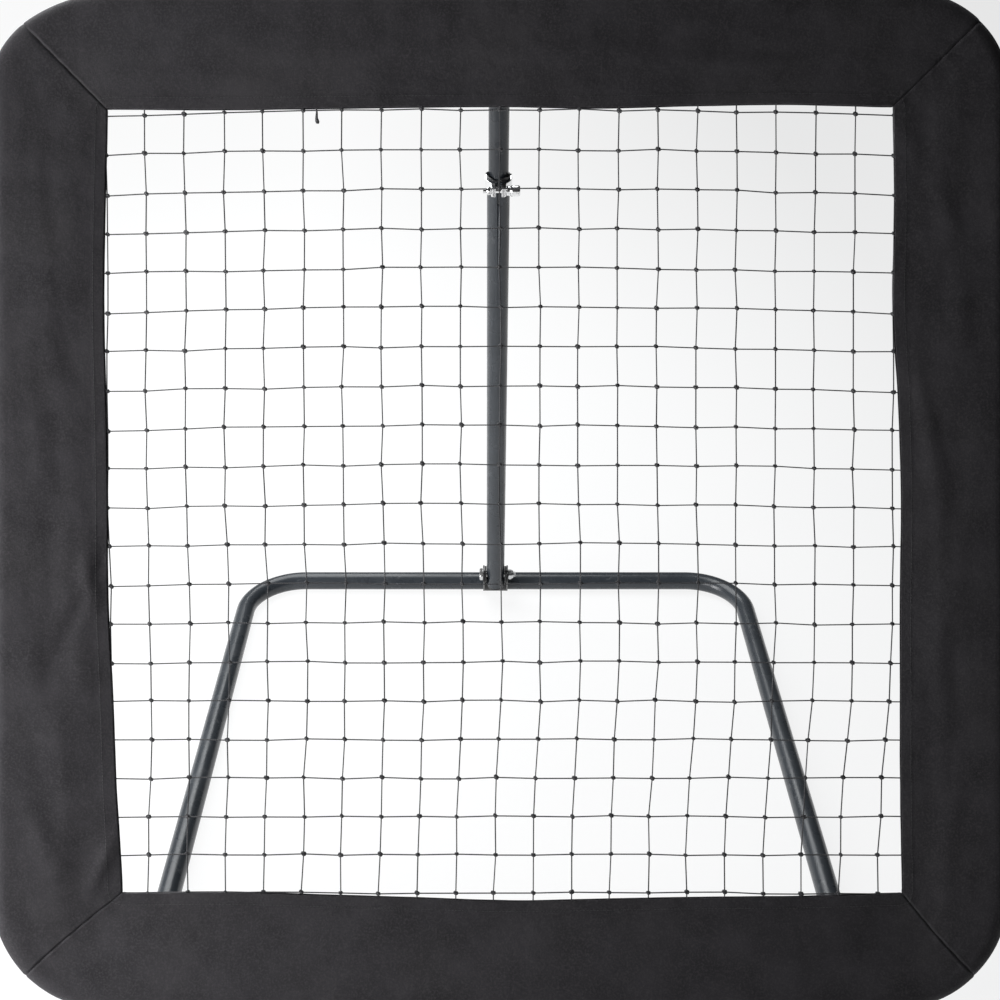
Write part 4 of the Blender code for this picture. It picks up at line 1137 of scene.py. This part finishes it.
for number, (side, x, wide, low, high) in enumerate(openings):
    if side == 2:
        low, high = -high, -low
    corners = [(x - wide, high), (x + wide, high), (x + wide, low), (x - wide, low)]
    middle_line = []
    for (x0, z0), (x1, z1) in zip(corners, corners[1:] + corners[:1]):
        for k in range(side_steps):
            share = k / side_steps
            t = cloth_at(z0 + (z1 - z0) * share)
            point = cover_point(side, x0 + (x1 - x0) * share, 0, t, tape_lift)
            middle_line.append(net_plane @ point)
    rings = []
    total = len(middle_line)
    centre = sum(middle_line, Vector()) / total
    for k in range(total):
        way = (middle_line[(k + 1) % total] - middle_line[k - 1]).normalized()
        across = way.cross(middle_line[k] - centre).normalized()
        normal = way.cross(across)
        middle = middle_line[k]
        tape = circle(tape_radius, 8)
        rings.append([middle + across * a * 0.9 + normal * b * 1.25 for a, b in tape])
    name = "opening_binding_" + str(number + 1)
    settle(name, solid(rings, loop=True), rope_black, "net_frame", angle=60)

# Lower strut ----------------------------------------------------------------------------------
# The outer tube of the strut, 25.4 mm, in the same slate coat. Its mouth is slit, so that the
# clamp can draw it tight on the inner tube, and its foot is closed with a plug.
strut_lean = 0.27493
strut_turn = Matrix.Translation(strut_pivot) @ Matrix.Rotation(strut_lean, 4, "X")
lower_radius = tube_radius
lower_top = 0.6635
lower_tail = 0.019
slit_half = 0.0015
slit_length = 0.028
way = strut_turn.to_3x3() @ Vector((0, 1, 0))
ends = [strut_turn @ Vector((0, 0, z)) for z in (-lower_tail, 0.2, 0.45, lower_top)]
shape = hollow_tube(ends, way, lower_radius)
past_mouth = lower_top + 0.01
outline = arc((0, lower_top - slit_length), slit_half, math.pi, math.tau, 10)
outline += [(slit_half, past_mouth), (-slit_half, past_mouth)]
slit_thing = helper_object("slit", extruded(strut_turn, outline, 1, -0.02, -0.003))


def cut_slit(piece):
    boolean(piece, slit_thing)


settle(
    "strut_outer_tube", shape, slate_coat, "strut_lower", ["strut_lower_tube"],
    steps=cut_slit,
)
bpy.data.objects.remove(slit_thing)
place = strut_turn @ Matrix.Translation((0, 0, -lower_tail)) @ Matrix.Rotation(math.pi / 2, 4, "Y")
shape = end_cap(lower_radius, place)
settle("strut_foot_cap", shape, black_plastic, "strut_lower", ["strut_end_cap"])

# Guide bushing --------------------------------------------------------------------------------
# A black nylon guide, pressed on the outer tube's mouth. Its rim is cut into flared horns that
# steer the inner tube in.
seat = lower_top + fit
around_count = 96
levels = 12
rim_height = 0.0018  # in the notches between the horns
horn_rise = 0.0050
horn_tip = 0.0068
guide_bore = 0.0114
collar_height = 0.002
collar_wall = 0.0016
# Each horn: the way it faces round the tube, its share of the rise, and how narrow it is.
horns = ((-2.72, 0.95, 6.0), (-1.02, 1.0, 9.0), (-0.38, 0.85, 16.0), (1.57, 0.70, 9.0))


def horn_height(turn):
    """The rim's height round the guide, in horns of unlike breadth with notches between them."""
    tallest = 0.0
    for middle, size, narrow in horns:
        tallest = max(tallest, size * math.exp(-narrow * (1 - math.cos(turn - middle))))
    return rim_height + horn_rise * tallest


outside = []
inside = []
for level in range(levels + 1):
    v = level / levels
    outer_row, inner_row = [], []
    for k in range(around_count):
        turn = math.tau * k / around_count
        z = v * horn_height(turn)
        swing = 0.0024 + 0.0010 * max(0.0, math.cos(turn + 0.35)) ** 4
        flare = swing * (z / horn_tip) ** 1.6
        wall = 0.0012 - 0.0005 * v
        outer = lower_radius + flare
        inner = outer - wall
        if z < collar_height:
            inner = max(guide_bore, outer - collar_wall)
        for row, radius in ((outer_row, outer), (inner_row, inner)):
            point = Vector((radius * math.cos(turn), radius * math.sin(turn), seat + z))
            row.append(strut_turn @ point)
    outside.append(outer_row)
    inside.append(inner_row)
shape = solid(outside + inside[::-1], loop=True)
settle(
    "guide_bushing", shape, black_plastic, "strut_lower", ["strut_bushing"],
    angle=50,
)

# Clamp ----------------------------------------------------------------------------------------
# A chromed steel band round the slit mouth. Its two folded lugs stand forward, and a cross
# screw with a round head draws them together against a nut.
chrome = plated("polished_chrome", ((0.80, 0.805, 0.81, 1), (0.86, 0.86, 0.86, 1)), 0.05, 60)
band_inner = lower_radius + fit
band_outer = band_inner + sheet_steel
band_height = 0.0115
lug_in = 0.0033
lug_out = 0.0083
lug_length = 0.0076
lug_tip = -band_outer - lug_length
lug_round = 0.0022
screw_od = 0.0050
clamp_nut = 0.0045
clamp_washer = 0.0038
screw_past_nut = 0.0040
band_high = lower_top - 0.0005
band_low = band_high - band_height
open_in = math.asin(lug_in / band_inner)
open_out = math.asin(lug_out / band_outer)
front = -math.pi / 2
outline = arc((0, 0), band_outer, front + open_out, front - open_out + math.tau, 44)
down = math.pi * 1.5
rounding = lug_tip + lug_round
outline += [(-lug_out, rounding)]
outline += arc((-lug_out + lug_round, rounding), lug_round, math.pi, down, 6)[1:]
outline += [(-lug_in, lug_tip)]
outline += arc((0, 0), band_inner, front - open_in + math.tau, front + open_in, 44)
outline += [(lug_in, lug_tip)]
outline += arc((lug_out - lug_round, rounding), lug_round, down, math.tau, 6)
outline += [(lug_out, lug_tip + 0.003)]
shape = extruded(strut_turn, outline, 2, band_low, band_high)
bmesh.ops.remove_doubles(shape, verts=shape.verts, dist=1e-6)


def round_band(piece):
    round_edges(piece, width=0.0006, segments=3)


settle(
    "clamp_collar", shape, chrome, "strut_lower", ["clamp_band"], angle=30,
    steps=round_band,
)
screw_middle = (0, -(band_outer + lug_length / 2), (band_low + band_high) / 2)
screw_axis = strut_turn @ Matrix.Translation(screw_middle)
half_turn = Matrix.Rotation(math.pi, 4, "Z")
nut_place = screw_axis @ Matrix.Translation((-lug_out - fit, 0, 0)) @ half_turn
shape = lock_nut(nut_place, screw_od, 0.0085, clamp_nut, 0)
settle("clamp_hex_nut", shape, chrome, "strut_lower", ["clamp_nut"], angle=28)
shape = plain_ring(screw_axis, lug_out + fit, clamp_washer, 0.0055, 0.0028)
settle("clamp_collar_washer", shape, chrome, "strut_lower", ["clamp_washer"])

# The clamp's screw: a round head with a shallow recess in its face, on a 5 mm thread.
face = lug_out + clamp_washer + 2 * fit
tail = lug_out + fit + clamp_nut + screw_past_nut
profile = [(-tail, 0), (-tail, 0.0018)]
for k in range(9):
    profile += [(-tail + 0.0002 + 0.0008 * k, screw_od / 2)]
    profile += [(-tail + 0.0006 + 0.0008 * k, 0.0021)]
profile += [(-lug_out, 0.0024), (face, 0.0024)]
# The head from the washer outward: the place past its face, and the radius.
head = ((0, 0.0047), (0.0004, 0.0054), (0.0012, 0.0059), (0.0030, 0.0060), (0.0078, 0.0060))
head += ((0.0098, 0.0058), (0.0107, 0.0051), (0.0110, 0.0042), (0.0110, 0.0026))
head += ((0.0104, 0.0022), (0.0104, 0))
profile += [(face + along, radius) for along, radius in head]
shape = turned(profile, screw_axis, 72)
settle("clamp_screw_head", shape, chrome, "clamp_screw", ["clamp_knob"], angle=40)

# Upper strut ----------------------------------------------------------------------------------
# The inner tube, 22.2 mm. It slides in the outer one, and its top end is pressed flat and slotted
# for the bolt behind the frame's top tube.
upper_radius = 0.0111
strut_length = 0.82744
inside_length = 0.250  # of the tube within the outer one
flat_from = strut_length - 0.024
press_length = 0.030
press_from = flat_from - press_length
flat_reach = 0.0145
slot_half = (0.0065, 0.0035)  # less the radius of its corners
slot_corner = 0.0020
sides = 48
# From the bottom up: the height, and how far the tube is pressed flat there.
levels = [(lower_top - inside_length, 0.0), (0.60, 0.0), (press_from - 0.004, 0.0)]
for k in range(13):
    press = (1 - math.cos(math.pi * k / 12)) / 2
    levels.append((press_from + press_length * k / 12, press))
outside, inside = [], []
for height, press in levels:
    wide = upper_radius + (flat_reach - upper_radius) * press
    thin = upper_radius + (flat_half - upper_radius) * press
    wall = min(tube_wall, thin - 0.0002)
    squash = 1 - 0.55 * press
    outer_ring, inner_ring = [], []
    for a, b in circle(1, sides, math.pi / sides):
        flattened = math.copysign(abs(a) ** squash, a) * thin
        outer_ring.append(strut_turn @ Vector((flattened, b * wide, height)))
        inner_point = Vector((a * (thin - wall), b * (wide - tube_wall), height))
        inner_ring.append(strut_turn @ inner_point)
    outside.append(outer_ring)
    inside.append(inner_ring)
shape = solid(outside + inside[::-1], loop=True)
plate_half = flat_half * 0.98
plate_foot = flat_from - 0.0030
eye = arc((0, strut_length), flat_reach, 0, math.pi, 28)
eye += [(-flat_reach, plate_foot), (flat_reach, plate_foot)]
plate_thing = helper_object("plate", extruded(strut_turn, eye, 0, -plate_half, plate_half))
outline = []
for quarter, (across, upward) in enumerate(((1, 1), (-1, 1), (-1, -1), (1, -1))):
    middle = (across * slot_half[0], strut_length + upward * slot_half[1])
    start, end = quarter * math.pi / 2, (quarter + 1) * math.pi / 2
    outline += arc(middle, slot_corner, start, end, 6)
slot_thing = helper_object("slot", extruded(strut_turn, outline, 0, -0.004, 0.004))


def add_plate_and_slot(piece):
    boolean(piece, plate_thing, "UNION")
    boolean(piece, slot_thing)


# The inner tube wears the slate coat painted darker: painted shade, for the shade that falls on the
# upper strut.
colours = ((0.016, 0.019, 0.023, 1), (0.023, 0.027, 0.032, 1))
shaded_slate_coat = powder_coat("slate_powder_coat_painted_shade", colours, 0.27)
settle(
    "strut_inner_tube", shape, shaded_slate_coat, "strut_upper", ["strut_upper_tube"],
    angle=40, steps=add_plate_and_slot,
)
for thing in (plate_thing, slot_thing):
    bpy.data.objects.remove(thing)
